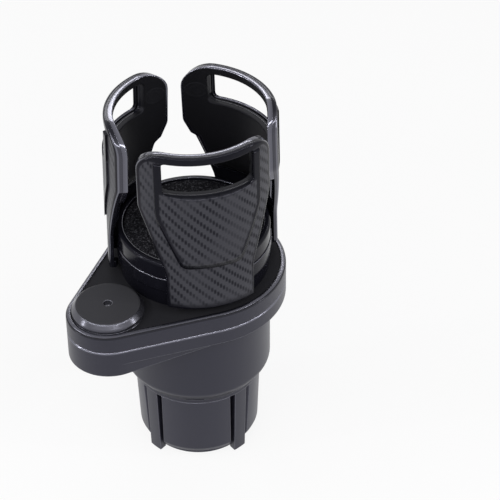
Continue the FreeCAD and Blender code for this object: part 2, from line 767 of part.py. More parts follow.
channel_plan = new_sketch(platform_base, "channel_plan", "XY_Plane", petal_bottom)
add_polygon(channel_plan, box_outline("tray_hub_radius + wall", "band_radius + wall",
                                      "-slide_half_width - slide_play", "slide_half_width + slide_play"))
channel = pocket(platform_base, "channel", channel_plan, "slide_thickness + slide_play")
around(platform_base, "channels", [channel], PETAL_COUNT)
tray_bore = circle(platform_base, "tray_bore_plan", post_top, "screw_radius")
pocket(platform_base, "tray_bore", tray_bore, "tray_screw_length", upward=False)
base_bore = circle(platform_base, "base_bore_plan", arm_floor, "small_screw_radius", "platform_screw_circle")
base_bore_pocket = pocket(platform_base, "base_bore", base_bore, "wall")
around(platform_base, "base_bores", [base_bore_pocket], ARM_SCREW_COUNT)

# Screws from inside the arm that hold the platform
platform_screws = new_body("platform_screws")
platform_head = circle(platform_screws, "platform_head_plan", arm_under, "small_head_radius",
                       "platform_screw_circle")
platform_head_pad = pad(platform_screws, "platform_head", platform_head, "screw_head", upward=False)
platform_shank = circle(platform_screws, "platform_shank_plan", arm_under, "small_screw_radius",
                        "platform_screw_circle")
platform_shank_pad = pad(platform_screws, "platform_shank", platform_shank, "2 * wall")
around(platform_screws, "platform_screw_set", [platform_head_pad, platform_shank_pad], ARM_SCREW_COUNT)
arm_through = circle(arm_top, "platform_hole_plan", arm_under, "small_screw_radius", "platform_screw_circle")
arm_through_pocket = pocket(arm_top, "platform_hole", arm_through, "wall")
around(arm_top, "platform_holes", [arm_through_pocket], ARM_SCREW_COUNT)

tray_ring = new_body("tray_ring")
tray_bore_radius = "tray_post_radius + running"
washer_well = "tray_hub_radius - root"
turned(tray_ring, "Revolution", "tray_form", [
    (tray_bore_radius, disc_top),
    ("tray_hub_radius", disc_top),
    ("tray_hub_radius", tray_plate_bottom),
    (drum_inner, tray_plate_bottom),
    (drum_inner, band_top + " + seam_gap"),
    ("ring_radius", band_top + " + seam_gap"),
    ("ring_radius", ring_top),
    ("pad_radius + seat_gap", ring_top),
    ("pad_radius + seat_gap", tray_plate_top),
    (washer_well, tray_plate_top),
    (washer_well, tray_plate_bottom + " + hub_plate"),
    (tray_bore_radius, tray_plate_bottom + " + hub_plate"),
])
round_edges(tray_ring, "Fillet", "tray_fillet", "ring_round",
            lambda edge: ring_at(edge, value_of(ring_top), size("ring_radius")))

petal_angles = [360.0 * i / PETAL_COUNT for i in range(PETAL_COUNT)]
scroll_disc = slotted_disc(
    disc_bottom, size("disc_thickness"), size("disc_radius"), value_of(tray_bore_radius),
    size("petal_pin_circle"), size("petal_travel"), SCROLL_TURN, size("petal_pin_radius"), petal_angles)
feature_part("scroll_disc", scroll_disc)

tray_pad = new_body("tray_pad")
tray_pad_plan = circle(tray_pad, "tray_pad_plan", tray_plate_top, "pad_radius")
pad(tray_pad, "tray_foam", tray_pad_plan, "pad_thickness")

tray_washer = new_body("tray_washer")
tray_washer_plan = new_sketch(tray_washer, "tray_washer_plan", "XY_Plane", post_top)
add_circle(tray_washer_plan, washer_well + " - seat_gap")
add_circle(tray_washer_plan, "screw_radius")
pad(tray_washer, "tray_washer_ring", tray_washer_plan, "thin_washer")

tray_screw = new_body("tray_screw")
tray_head_level = post_top + " + thin_washer"
tray_head = circle(tray_screw, "tray_head_plan", tray_head_level, "screw_head_radius")
pad(tray_screw, "tray_head", tray_head, "thin_head")
tray_shank = circle(tray_screw, "tray_shank_plan", tray_head_level, "screw_radius")
pad(tray_screw, "tray_shank", tray_shank, "tray_screw_length", upward=False)

# Petals

petal_top = petal_bottom + " + petal_height"
liner_bottom = petal_top + " - liner_height"
stem_top = petal_bottom + " + stem_height"
head_bottom = petal_top + " - head_height"
window_top = petal_top + " - window_bar"
window_bottom = window_top + " - window_height"
trim_bottom = petal_bottom + " + trim_lift"
petal_sector = "%g" % (180.0 / PETAL_COUNT)


def wall_profile(offset, thickness, bottom, top):
    """Corners of a leaning wall, set in from the petal's outer face by an offset."""
    def face(level, inset):
        lean = "petal_lean * (" + level + " - (" + petal_bottom + ")) / petal_height"
        return ("petal_foot_radius - (" + inset + ") - " + lean, level)
    deep = offset + " + " + thickness
    return [face(bottom, offset), face(top, offset), face(top, deep), face(bottom, deep)]


def cut_outline(body, corners):
    """Keep only what lies inside an outline seen along the petal's radius."""
    sketch = new_sketch(body, "outline_plan", "YZ_Plane")
    add_polygon(sketch, box_outline("-2 * head_half_width", "2 * head_half_width",
                                    petal_bottom + " - head_half_width", petal_top + " + head_half_width"))
    add_polygon(sketch, corners)
    pocket(body, "outline", sketch, "2 * petal_foot_radius")


def cut_window(body):
    left, right = "-window_half_width", "window_half_width"
    sketch = new_sketch(body, "window_plan", "YZ_Plane")
    add_polygon(sketch, [
        (left, window_bottom, "window_round"),
        (left, window_top, "window_round"),
        (right, window_top, "window_round"),
        (right, window_bottom, "window_round"),
    ])
    pocket(body, "window", sketch, "2 * petal_foot_radius")


def mirrored(half):
    """Outline from its right half, listed upward."""
    return half + [("-(" + corner[0] + ")",) + corner[1:] for corner in reversed(half)]


shell_outline = mirrored([
    ("stem_half_chord", petal_bottom),
    ("stem_half_chord", stem_top, "2 * shoulder_round"),
    ("head_half_width", head_bottom, "shoulder_round"),
    ("head_half_width", petal_top, "shoulder_round"),
])
liner_outline = mirrored([
    ("stem_half_chord - liner_inset", petal_bottom),
    ("stem_half_chord - liner_inset", stem_top, "2 * shoulder_round"),
    ("head_half_width - liner_inset", head_bottom, "shoulder_round"),
    ("head_half_width - liner_inset", petal_top, "shoulder_round - liner_inset"),
])
trim_outline = mirrored([
    ("trim_bottom_half_width", trim_bottom, "window_round"),
    ("trim_waist_half_width", trim_bottom + " + trim_foot", "2 * window_round"),
    ("trim_top_half_width", window_bottom + " - trim_shoulder", "2 * window_round"),
    ("trim_top_half_width", window_top),
])


def on_wall_face(inset):
    """Test that picks the edges of a leaning wall's face, but not its lowest edge."""
    foot_radius = size("petal_foot_radius") - value_of(inset)
    low = value_of(petal_bottom)

    def chosen(edge):
        for vertex in edge.Vertexes:
            face_radius = foot_radius - size("petal_lean") * (vertex.Z - low) / size("petal_height")
            if abs(math.hypot(vertex.X, vertex.Y) - face_radius) > TOUCHING:
                return False
        return not flat_at(edge, low)

    return chosen


def make_petal(number):
    """Outer shell with its slide, the liner of the head, and the trim panel."""
    turn = FreeCAD.Rotation(FreeCAD.Vector(0, 0, 1), petal_angles[number - 1])
    place = FreeCAD.Placement(FreeCAD.Vector(0, 0, 0), turn)

    shell = new_body("petal_shell_%d" % number)
    turned(shell, "Revolution", "shell_wall", wall_profile("0", "petal_wall", petal_bottom, petal_top),
           petal_sector)
    cut_outline(shell, shell_outline)
    cut_window(shell)
    round_edges(shell, "Fillet", "shell_fillet", "petal_round", on_wall_face("0"))
    heel = new_sketch(shell, "heel_plan", "XY_Plane", petal_bottom)
    heel_end = "heel_start + heel_width"
    add_polygon(heel, box_outline("heel_inner", "heel_outer", "heel_start", heel_end))
    add_polygon(heel, box_outline("heel_inner", "heel_outer", "-(" + heel_end + ")", "-heel_start"))
    pad(shell, "heels", heel, "heel_height")
    slide = new_sketch(shell, "slide_plan", "XY_Plane", petal_bottom)
    add_polygon(slide, box_outline("slide_inner", "petal_foot_radius - petal_wall + root",
                                   "-slide_half_width", "slide_half_width"))
    pad(shell, "slide", slide, "slide_thickness")
    pin = circle(shell, "petal_pin_plan", slide_top, "petal_pin_radius", "petal_pin_circle")
    pad(shell, "petal_pin", pin, disc_top + " - end_play - (" + slide_top + ")")

    liner = new_body("petal_liner_%d" % number)
    turned(liner, "Revolution", "liner_wall_form",
           wall_profile("petal_wall", "liner_wall", liner_bottom, petal_top), petal_sector)
    cut_outline(liner, liner_outline)
    cut_window(liner)
    round_edges(liner, "Fillet", "liner_fillet", "liner_round", on_wall_face("petal_wall + liner_wall"))

    trim = new_body("petal_trim_%d" % number)
    turned(trim, "Revolution", "trim_wall",
           wall_profile("-glue_line - trim_thickness", "trim_thickness", trim_bottom, window_top),
           petal_sector)
    cut_outline(trim, trim_outline)
    opening = new_sketch(trim, "trim_opening_plan", "YZ_Plane")
    add_polygon(opening, box_outline("-window_half_width", "window_half_width",
                                     window_bottom, window_top + " + window_round"))
    pocket(trim, "trim_opening", opening, "2 * petal_foot_radius")
    round_edges(trim, "Fillet", "trim_fillet", "trim_round", on_wall_face("-glue_line - trim_thickness"))
    for piece in (shell, liner, trim):
        piece.Placement = place


for number in range(1, PETAL_COUNT + 1):
    make_petal(number)

# Checks and export

doc.recompute()
parts = [obj for obj in doc.Objects
         if obj.isDerivedFrom("PartDesign::Body")
         or (obj.TypeId == "Part::Feature" and obj.getParentGeoFeatureGroup() is None)]
for obj in doc.Objects:
    if "Invalid" in obj.State or "Error" in obj.State:
        raise RuntimeError("%s failed: %s" % (obj.Label, obj.State))
for part in parts:
    if part.Shape.isNull() or not part.Shape.isValid() or not part.Shape.Solids:
        raise RuntimeError("%s has no valid solid" % part.Label)
for part in parts:
    part.Shape.exportStep("parts/%s.step" % part.Label)
    print("%-20s %9.1f mm3  %d faces" % (part.Label, part.Shape.Volume, len(part.Shape.Faces)))
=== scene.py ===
# %% [markdown]
# # A cup holder expander, dressed in Blender
# The object is black plastic almost everywhere, so its look rests on three things: how round the
# edges are, how rough each surface is, and what the surfaces mirror. The solids come from the
# frame and stay as they are. Where the eye rests longest, on the petals and the foam, new pieces
# are worked out with numpy and stand for the solids.

import math

import bpy
import numpy as np
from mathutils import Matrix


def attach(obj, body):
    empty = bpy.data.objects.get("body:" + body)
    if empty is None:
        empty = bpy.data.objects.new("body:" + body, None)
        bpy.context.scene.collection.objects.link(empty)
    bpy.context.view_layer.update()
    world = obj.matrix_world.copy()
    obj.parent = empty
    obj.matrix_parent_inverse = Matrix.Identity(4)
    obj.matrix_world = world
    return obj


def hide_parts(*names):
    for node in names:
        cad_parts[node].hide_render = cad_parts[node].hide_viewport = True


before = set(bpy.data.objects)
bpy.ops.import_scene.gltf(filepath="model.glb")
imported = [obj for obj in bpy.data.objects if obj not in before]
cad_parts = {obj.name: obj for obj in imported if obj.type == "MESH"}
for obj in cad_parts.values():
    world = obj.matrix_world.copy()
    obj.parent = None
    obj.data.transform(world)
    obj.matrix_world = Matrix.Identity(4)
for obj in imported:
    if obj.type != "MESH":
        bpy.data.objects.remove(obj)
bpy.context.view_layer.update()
MM = 0.001
scene = bpy.context.scene
scene.view_settings.view_transform = "Standard"

# %% [markdown]
# ## Camera
# A photograph taken with a long lens keeps upright edges nearly parallel. The camera here is
# placed by its direction and distance from a point on the object, as a photographer walks round
# a product.

# %% Camera at the photograph's viewing angle
NEAREST = 0.05
FARTHEST = 20.0
AZIMUTH = math.radians(-43.66)
ELEVATION = math.radians(38.29)
ROLL = math.radians(-0.5)
DISTANCE = 1.1726
TARGET = np.array([0.03918, -0.00458, 0.11055])
FOCAL_PIXELS = 2014.8
PHOTO_PIXELS = 500
SENSOR = 36.0


def look_axes(azimuth, elevation, roll):
    """Right, up and back of a camera: spherical direction first, then a turn about the view."""
    back = np.array([
        math.sin(azimuth) * math.cos(elevation),
        -math.cos(azimuth) * math.cos(elevation),
        math.sin(elevation),
    ])
    right = np.cross(-back, [0.0, 0.0, 1.0])
    right /= np.linalg.norm(right)
    up = np.cross(right, -back)
    turned_right = right * math.cos(roll) + up * math.sin(roll)
    turned_up = up * math.cos(roll) - right * math.sin(roll)
    return turned_right, turned_up, back


def placed(right, up, back, place):
    """World matrix of a camera or lamp from its axes and its place, as Blender takes it."""
    matrix = np.eye(4)
    matrix[:3, 0] = right
    matrix[:3, 1] = up
    matrix[:3, 2] = back
    matrix[:3, 3] = place
    return matrix.T.tolist()


def add_camera():
    """Camera whose lens gives the same pixels per radian as the photograph."""
    right, up, back = look_axes(AZIMUTH, ELEVATION, ROLL)
    data = bpy.data.cameras.new("photo_camera")
    data.sensor_width = SENSOR
    data.lens = SENSOR * FOCAL_PIXELS / PHOTO_PIXELS
    data.clip_start = NEAREST
    data.clip_end = FARTHEST
    camera = bpy.data.objects.new("photo_camera", data)
    scene.collection.objects.link(camera)
    camera.matrix_world = placed(right, up, back, TARGET + back * DISTANCE)
    scene.camera = camera
    return camera


camera = add_camera()
print("lens %.1f mm, camera at" % camera.data.lens, [round(v, 3) for v in camera.matrix_world.translation])

# %% [markdown]
# ## Shader helpers
# Every finish is a small network of nodes. A few helpers keep the networks readable: one makes
# the material with its main shader, one adds a node with its inputs, and the rest name the steps
# that come back in several finishes. Two masks matter most: one finds the edges, by comparing a
# softened normal with the face's own, and the other finds corners and slots, where it paints
# shade by taking the mirroring away.

# %% Material helpers
COOL_SHEEN = (0.84, 0.84, 1.0, 1.0)
LACQUER = 1.8
PLAIN_LEVEL = 0.5
CLOUD_LOW = 0.3
CLOUD_HIGH = 0.7
EDGE_SAMPLES = 6
EDGE_TURNED = 0.86
EDGE_STARTS = 0.995
# Reach, samples and limits of the painted shade in corners and slots.
CORNER_REACH = 0.004
CORNER_SAMPLES = 8
CORNER_DARK = 0.3
CORNER_OPEN = 0.75


def new_material(name, color, roughness, level=PLAIN_LEVEL):
    """Material with one Principled shader: colour, roughness and how much its faces mirror."""
    material = bpy.data.materials.new(name)
    material.use_nodes = True
    shader = material.node_tree.nodes["Principled BSDF"]
    shader.inputs["Base Color"].default_value = (*color, 1.0)
    shader.inputs["Roughness"].default_value = roughness
    shader.inputs["Specular IOR Level"].default_value = level
    shader.inputs["Specular Tint"].default_value = COOL_SHEEN
    shader.inputs["IOR"].default_value = LACQUER
    return material, shader


def add_node(material, kind, inputs=(), **settings):
    """Node of a kind, with settings, and with inputs given as sockets or plain values."""
    tree = material.node_tree
    node = tree.nodes.new(kind)
    for key, value in settings.items():
        setattr(node, key, value)
    for key, value in dict(inputs).items():
        if isinstance(value, bpy.types.NodeSocket):
            tree.links.new(value, node.inputs[key])
        else:
            node.inputs[key].default_value = value
    return node


def math_node(material, operation, first, second=0.0):
    """Result of one arithmetic node."""
    return add_node(material, "ShaderNodeMath", {0: first, 1: second}, operation=operation).outputs[0]


def times(material, first, second):
    """Product of two values."""
    return math_node(material, "MULTIPLY", first, second)


def object_place(material):
    """Object coordinates, which stay with a piece when it moves."""
    return add_node(material, "ShaderNodeTexCoord").outputs["Object"]


def link(material, output, shader, name):
    """Lets a node's output drive the input of that name."""
    material.node_tree.links.new(output, shader.inputs[name])


def noise(material, place, scale, detail, roughness=0.5):
    """Grey noise of a number of blobs per metre."""
    inputs = {"Vector": place, "Scale": scale, "Detail": detail, "Roughness": roughness}
    return add_node(material, "ShaderNodeTexNoise", inputs).outputs["Fac"]


def spread(material, value, low, high, start=CLOUD_LOW, end=CLOUD_HIGH):
    """Value between two numbers spread, without going past them, between two others."""
    inputs = {"Value": value, "From Min": start, "From Max": end, "To Min": low, "To Max": high}
    return add_node(material, "ShaderNodeMapRange", inputs).outputs["Result"]


def color_between(material, value, dark, light):
    """Colour between two by a value from 0 to 1."""
    mix = add_node(material, "ShaderNodeMix", {0: value}, data_type="RGBA")
    mix.inputs[6].default_value = (*dark, 1.0)
    mix.inputs[7].default_value = (*light, 1.0)
    return mix.outputs[2]


def bump(material, height, distance, strength, edge=None):
    """Normal from a height field, laid over softened edges where they are given."""
    inputs = {"Height": height, "Distance": distance, "Strength": strength}
    if edge is not None:
        inputs["Normal"] = edge
    return add_node(material, "ShaderNodeBump", inputs).outputs["Normal"]


def soft_edges(material, radius):
    """Normal that rounds a solid's sharp edges over a small radius."""
    return add_node(material, "ShaderNodeBevel", {"Radius": radius}, samples=EDGE_SAMPLES).outputs["Normal"]


def on_edges(material, edge):
    """1 where the softened normal leaves the face's own normal, which is at the edges only."""
    true = add_node(material, "ShaderNodeNewGeometry").outputs["Normal"]
    both = add_node(material, "ShaderNodeVectorMath", {0: edge, 1: true}, operation="DOT_PRODUCT")
    return spread(material, both.outputs["Value"], 1.0, 0.0, EDGE_TURNED, EDGE_STARTS)


def corner_shade_paint(material):
    """1 on open faces and 0 deep in a corner or a slot: painted shade, which takes the mirroring out of
    corners and slots.
    """
    inputs = {"Distance": CORNER_REACH}
    reached = add_node(material, "ShaderNodeAmbientOcclusion", inputs, samples=CORNER_SAMPLES,
                       only_local=True)
    return spread(material, reached.outputs["AO"], 0.0, 1.0, CORNER_DARK, CORNER_OPEN)


def sheen(material, shader, level, edge):
    """How much the plastic mirrors: a level on the faces, all of it on the edges, and none in corners,
    where shade is painted.
    """
    most = math_node(material, "MAXIMUM", on_edges(material, edge), level)
    # Painted shade: corners and slots lose their mirroring.
    mirrored = times(material, most, corner_shade_paint(material))
    link(material, mirrored, shader, "Specular IOR Level")


# %% [markdown]
# ## Moulded black plastic
# The walls of the real part come from a mould with a fine spark-eroded texture: they are not
# mirror bright, and they pick up a soft grey from the table. Polished places, such as the rims
# and the bands, mirror more sharply. Both are black resin and differ in tone, in roughness, in how
# much they mirror and in the depth of the grain. A flat face mirrors very little and its rounded
# edge mirrors fully, so the edges draw the bright lines of the photograph.

# %% Moulded plastics
BLACK = (0.006, 0.006, 0.009)
CHARCOAL = (0.017, 0.017, 0.025)
INK = (0.005, 0.005, 0.006)
IVORY = (0.6, 0.6, 0.57)
GLOSS = 0.05
GLOSS_ROUGHNESS = 0.13
CLOUD_SCALE = 45.0
CLOUD_DETAIL = 4.0
CLOUD_TINT = 1.2
SMOOTHER = 0.03
ROUGHER = 0.04
GRAIN_SCALE = 2600.0
GRAIN_STRENGTH = 0.6
BROKEN = 0.6


def grained_edges(material, shader, place, grain, edge_radius):
    """Fine grain over softened edges; gives back the softened normal without the grain."""
    fine = noise(material, place, GRAIN_SCALE, 2.0, BROKEN)
    edge = soft_edges(material, edge_radius)
    link(material, bump(material, fine, grain, GRAIN_STRENGTH, edge), shader, "Normal")
    return edge


def moulded_plastic(name, color, roughness, grain, edge_radius, level):
    """Moulded resin: cloudy noise changes the sheen a little, and a fine grain gives the bump."""
    material, shader = new_material(name, color, roughness, level)
    place = object_place(material)
    cloudy = noise(material, place, CLOUD_SCALE, CLOUD_DETAIL, BROKEN)
    rough = spread(material, cloudy, roughness - SMOOTHER, roughness + ROUGHER)
    link(material, rough, shader, "Roughness")
    light = tuple(CLOUD_TINT * c for c in color)
    link(material, color_between(material, cloudy, color, light), shader, "Base Color")
    edge = grained_edges(material, shader, place, grain, edge_radius)
    sheen(material, shader, level, edge)
    return material


wall_plastic = moulded_plastic("wall_plastic", CHARCOAL, roughness=0.36, grain=0.00002,
                               edge_radius=0.0008, level=0.22)
gloss_plastic = moulded_plastic("gloss_plastic", BLACK, GLOSS_ROUGHNESS, grain=0.000003,
                                edge_radius=0.0009, level=GLOSS)
inner_plastic = moulded_plastic("inner_plastic", INK, roughness=0.5, grain=0.00002,
                                edge_radius=0.0004, level=0.1)
acetal = moulded_plastic("acetal", IVORY, roughness=0.4, grain=0.00001, edge_radius=0.0003, level=0.25)
print("plastics:", wall_plastic.name, gloss_plastic.name, inner_plastic.name, acetal.name)

# %% [markdown]
# ## One moulding with several textures
# The mould of the arm is etched on its flat top only: the recessed face is dull, while the rim
# round it is polished and draws a bright line. The pivot cap is dull on top and polished round
# its side, and the base has one polished line under its upper edge. The textures meet at a
# height, so one finish can hold them all: it reads the height from the object's coordinates.

# %% Plastic with bands: dull on one level, polished on another
BANDED_ROUGHNESS = 0.18
DULL_ROUGHER = 0.28
WALL_ROUGHER = 0.16
BAND_CLOUD_SCALE = 60.0
BAND_CLOUD = 0.05
BAND_EDGE_RADIUS = 0.0008
BAND_GRAIN = 0.00001
DULL_LEVEL = 0.02
NO_DULL_BAND = (-2.0, -1.0)


def banded_plastic(name, color, dull_color, dull, bright, wall_below, level, bright_level):
    """Black plastic whose texture follows the height, in millimetres: dull and bright are bands
    (low, high), and below a third height the moulding has the charcoal of the walls. The levels
    say how much the faces and the bright band mirror."""
    material, shader = new_material(name, color, BANDED_ROUGHNESS)
    place = object_place(material)
    height = add_node(material, "ShaderNodeSeparateXYZ", {"Vector": place}).outputs["Z"]

    def within(low, high):
        """1 where the height is between two heights, and 0 elsewhere."""
        above = math_node(material, "GREATER_THAN", height, low * MM)
        below = math_node(material, "LESS_THAN", height, high * MM)
        return times(material, above, below)

    is_dull, is_bright = within(*dull), within(*bright)
    is_wall = math_node(material, "SUBTRACT", within(0.0, wall_below), is_bright)
    is_wall = math_node(material, "MAXIMUM", is_wall, 0.0)
    charcoal = color_between(material, is_wall, color, CHARCOAL)
    tone = color_between(material, is_dull, color, dull_color)
    material.node_tree.links.new(charcoal, tone.node.inputs[6])
    link(material, tone, shader, "Base Color")
    rough = math_node(material, "ADD", times(material, is_dull, DULL_ROUGHER),
                      times(material, is_wall, WALL_ROUGHER))
    cloudy = noise(material, place, BAND_CLOUD_SCALE, CLOUD_DETAIL, BROKEN)
    cloud = times(material, cloudy, BAND_CLOUD)
    smooth = math_node(material, "ADD", cloud, BANDED_ROUGHNESS)
    link(material, math_node(material, "ADD", rough, smooth), shader, "Roughness")
    edge = grained_edges(material, shader, place, BAND_GRAIN, BAND_EDGE_RADIUS)
    faces = spread(material, is_dull, level, DULL_LEVEL, 0.0, 1.0)
    band = times(material, is_bright, bright_level)
    sheen(material, shader, math_node(material, "MAXIMUM", faces, band), edge)
    return material


arm_plastic = banded_plastic(
    "arm_plastic", BLACK, dull_color=(0.02, 0.02, 0.023), dull=(121.95, 122.45),
    bright=(122.45, 140.0), wall_below=121.2, level=0.19, bright_level=0.6,
)
cap_plastic = banded_plastic(
    "cap_plastic", (0.02, 0.02, 0.024), dull_color=(0.042, 0.042, 0.047), dull=(128.0, 129.0),
    bright=(100.0, 128.0), wall_below=0.0, level=0.1, bright_level=0.5,
)
base_plastic = banded_plastic(
    "base_plastic", CHARCOAL, dull_color=CHARCOAL, dull=NO_DULL_BAND,
    bright=(110.8, 112.1), wall_below=200.0, level=0.21, bright_level=1.0,
)
print("banded plastics:", arm_plastic.name, cap_plastic.name, base_plastic.name)

# %% [markdown]
# ## Carbon look
# The petals wear a film printed with a two-by-two twill. In that weave each yarn passes over two
# and under two, and each row starts one yarn further on, which is why the eye sees diagonals. A
# cell shows the lengthwise yarn where (column + row) modulo 4 is below 2, and the crosswise yarn
# elsewhere. A sine whose period is four cells finds each float, and half a sine across the yarn
# rounds its back. The lengthwise floats turn away from the light, so their shade is painted in:
# they are coloured darker and mirror less. Large soft noise paints a patchy sheen that lets their
# contrast come and go over a petal.
#
# Where the film ends depends on the shape, so the mesh itself says it, in an attribute named film:
# 1 on the film, 0 on plain plastic, -1 on polished edges and -2 round the panel's foot, where a
# shadow is painted: black, with nothing mirrored.

# %% Twill film
YARN = 0.17
FILM_LIGHT = (0.026, 0.026, 0.031)
FILM_RELIEF = 0.00004
FILM_ROUGHNESS = 0.38
FILM_DARK_LEVEL = 0.05
FILM_LIGHT_LEVEL = 0.19
FLOAT_CURVE = 0.5
RELIEF_STRENGTH = 0.5
# Size and reach of the painted patches of sheen over the weave.
SHEEN_PATCH_SCALE = 40.0
SHEEN_PATCH_LEAST = 0.45
SHEEN_PATCH_FROM = 0.42
SHEEN_PATCH_TO = 0.55
# Film values over which the painted shadow round the panel fades in.
PAINTED_GAP_DARK = -1.8
PAINTED_GAP_ENDS = -1.2


def coat_of(material):
    """The attribute film, and the same without its negative values."""
    coat = add_node(material, "ShaderNodeAttribute", attribute_name="film").outputs["Fac"]
    return coat, math_node(material, "MAXIMUM", coat, 0.0)


def twill_floats(material):
    """Heights of the lengthwise and the crosswise yarns, from the piece's map in centimetres."""
    place = add_node(material, "ShaderNodeUVMap", uv_map="weave").outputs["UV"]
    parts = add_node(material, "ShaderNodeSeparateXYZ", {"Vector": place})
    column = math_node(material, "DIVIDE", parts.outputs["X"], YARN)
    row = math_node(material, "DIVIDE", parts.outputs["Y"], YARN)
    floats = []
    for along, beside, sign in ((row, column, 1.0), (column, row, -1.0)):
        start = math_node(material, "ADD", along, math_node(material, "FLOOR", beside))
        swing = times(material, start, sign * math.pi / 2)
        front = math_node(material, "MAXIMUM", math_node(material, "SINE", swing), 0.0)
        across = times(material, math_node(material, "FRACT", beside), math.pi)
        back = math_node(material, "SINE", across)
        floats.append(times(material, front, back))
    return floats


def twill_film():
    """Printed twill on plain plastic, where the attribute film says so."""
    material, shader = new_material("film_plastic", BLACK, GLOSS_ROUGHNESS, GLOSS)
    lengthwise, crosswise = twill_floats(material)
    coat, film = coat_of(material)
    # Painted sheen: large soft noise fades the painted shade of the floats in patches.
    sheen_patches = noise(material, object_place(material), SHEEN_PATCH_SCALE, 2.0)
    depth = times(material, math_node(material, "POWER", lengthwise, FLOAT_CURVE),
                  spread(material, sheen_patches, SHEEN_PATCH_LEAST, 1.0, SHEEN_PATCH_FROM, SHEEN_PATCH_TO))
    pale = math_node(material, "SUBTRACT", 1.0, depth)
    shown = times(material, pale, film)
    link(material, color_between(material, shown, BLACK, FILM_LIGHT), shader, "Base Color")
    rough = spread(material, film, GLOSS_ROUGHNESS, FILM_ROUGHNESS, 0.0, 1.0)
    link(material, rough, shader, "Roughness")
    on_film = spread(material, pale, FILM_DARK_LEVEL, FILM_LIGHT_LEVEL, 0.0, 1.0)
    plain = spread(material, coat, 1.0, GLOSS, -1.0, 0.0)
    mirrors = add_node(material, "ShaderNodeMix", {0: film, 2: plain, 3: on_film}).outputs[0]
    # Where film is -2 a shadow is painted: nothing is mirrored there.
    outside_painted_gap = spread(material, coat, 0.0, 1.0, PAINTED_GAP_DARK, PAINTED_GAP_ENDS)
    link(material, times(material, mirrors, outside_painted_gap), shader, "Specular IOR Level")
    highest = math_node(material, "MAXIMUM", lengthwise, crosswise)
    raised = times(material, highest, film)
    link(material, bump(material, raised, FILM_RELIEF, RELIEF_STRENGTH), shader, "Normal")
    return material


film_plastic = twill_film()
print("film:", film_plastic.name, "with a yarn of", YARN, "cm")

# %% [markdown]
# ## Lining
# The head of a petal has an inner skin of the same resin. Its inner face is etched, so it stays
# nearly black, and its edges are polished like the shell's. The attribute film says which is
# which here too: 1 on the etched face, and -1 on the polished edges.

# %% Lining: dull on the inner face, polished on the edges
LINING_ROUGHNESS = 0.5
LINING_LEVEL = 0.08
LINING_GRAIN = 0.00003
LINING_GRAIN_SCALE = 2400.0


def lining_finish():
    """Polished resin whose etched places are rougher, darker and grained."""
    material, shader = new_material("lining_plastic", BLACK, GLOSS_ROUGHNESS, GLOSS)
    coat, dull = coat_of(material)
    link(material, color_between(material, dull, BLACK, INK), shader, "Base Color")
    rough = spread(material, dull, GLOSS_ROUGHNESS, LINING_ROUGHNESS, 0.0, 1.0)
    link(material, rough, shader, "Roughness")
    link(material, spread(material, coat, 1.0, LINING_LEVEL, -1.0, 1.0), shader, "Specular IOR Level")
    fine = noise(material, object_place(material), LINING_GRAIN_SCALE, 2.0)
    grain = times(material, fine, dull)
    link(material, bump(material, grain, LINING_GRAIN, GRAIN_STRENGTH), shader, "Normal")
    return material


lining_plastic = lining_finish()
print("lining:", lining_plastic.name)

# %% [markdown]
# ## Foam
# The pads are closed-cell foam: a black sheet whose cut cells catch a little light. Cells are
# what a Voronoi pattern draws, so the foam takes its dents from one, at about one cell to the
# millimetre. Noise of about that size sprinkles the grey specks.

# %% Foam
FOAM_DARK = (0.008, 0.008, 0.01)
FOAM_SPECK = (0.12, 0.12, 0.135)
FOAM_ROUGHNESS = 0.85
FOAM_LEVEL = 0.03
CELL_SCALE = 950.0
CELL_DEPTH = 0.0005
CELL_STRENGTH = 0.8
SPECK_SCALE = 1100.0
SPECK_BROKEN = 0.7
SPECK_FROM = 0.52
SPECK_TO = 0.7


def foam_finish():
    """Black foam: Voronoi cells give the dents, and fine noise sprinkles grey specks."""
    material, shader = new_material("foam", FOAM_DARK, FOAM_ROUGHNESS, FOAM_LEVEL)
    place = object_place(material)
    cells = add_node(material, "ShaderNodeTexVoronoi", {"Vector": place, "Scale": CELL_SCALE})
    specks = noise(material, place, SPECK_SCALE, 2.0, SPECK_BROKEN)
    bright = spread(material, specks, 0.0, 1.0, SPECK_FROM, SPECK_TO)
    link(material, color_between(material, bright, FOAM_DARK, FOAM_SPECK), shader, "Base Color")
    dents = bump(material, cells.outputs["Distance"], CELL_DEPTH, CELL_STRENGTH)
    link(material, dents, shader, "Normal")
    return material


foam = foam_finish()
print("foam:", foam.name)

# %% [markdown]
# ## Steel
# The screws and washers are zinc-plated steel. They are mostly hidden, so a plain metal does: one
# colour, full metalness and a cloudy roughness.

# %% Steel of the screws and washers
STEEL_COLOR = (0.55, 0.56, 0.58)
STEEL_SMOOTHEST = 0.25
STEEL_ROUGHEST = 0.42
PLATING_SCALE = 900.0
STEEL_EDGE_RADIUS = 0.0002


def plated_steel():
    """Zinc-plated steel: metal with a cloudy change in roughness."""
    material, shader = new_material("plated_steel", STEEL_COLOR, STEEL_SMOOTHEST)
    shader.inputs["Metallic"].default_value = 1.0
    cloudy = noise(material, object_place(material), PLATING_SCALE, CLOUD_DETAIL)
    link(material, spread(material, cloudy, STEEL_SMOOTHEST, STEEL_ROUGHEST), shader, "Roughness")
    link(material, soft_edges(material, STEEL_EDGE_RADIUS), shader, "Normal")
    return material


steel = plated_steel()
print("steel:", steel.name)

# %% [markdown]
# ## One finish for each solid
# Each node takes one finish, found by its name. The petals and pads get theirs here too, although
# finer pieces stand for them further down.

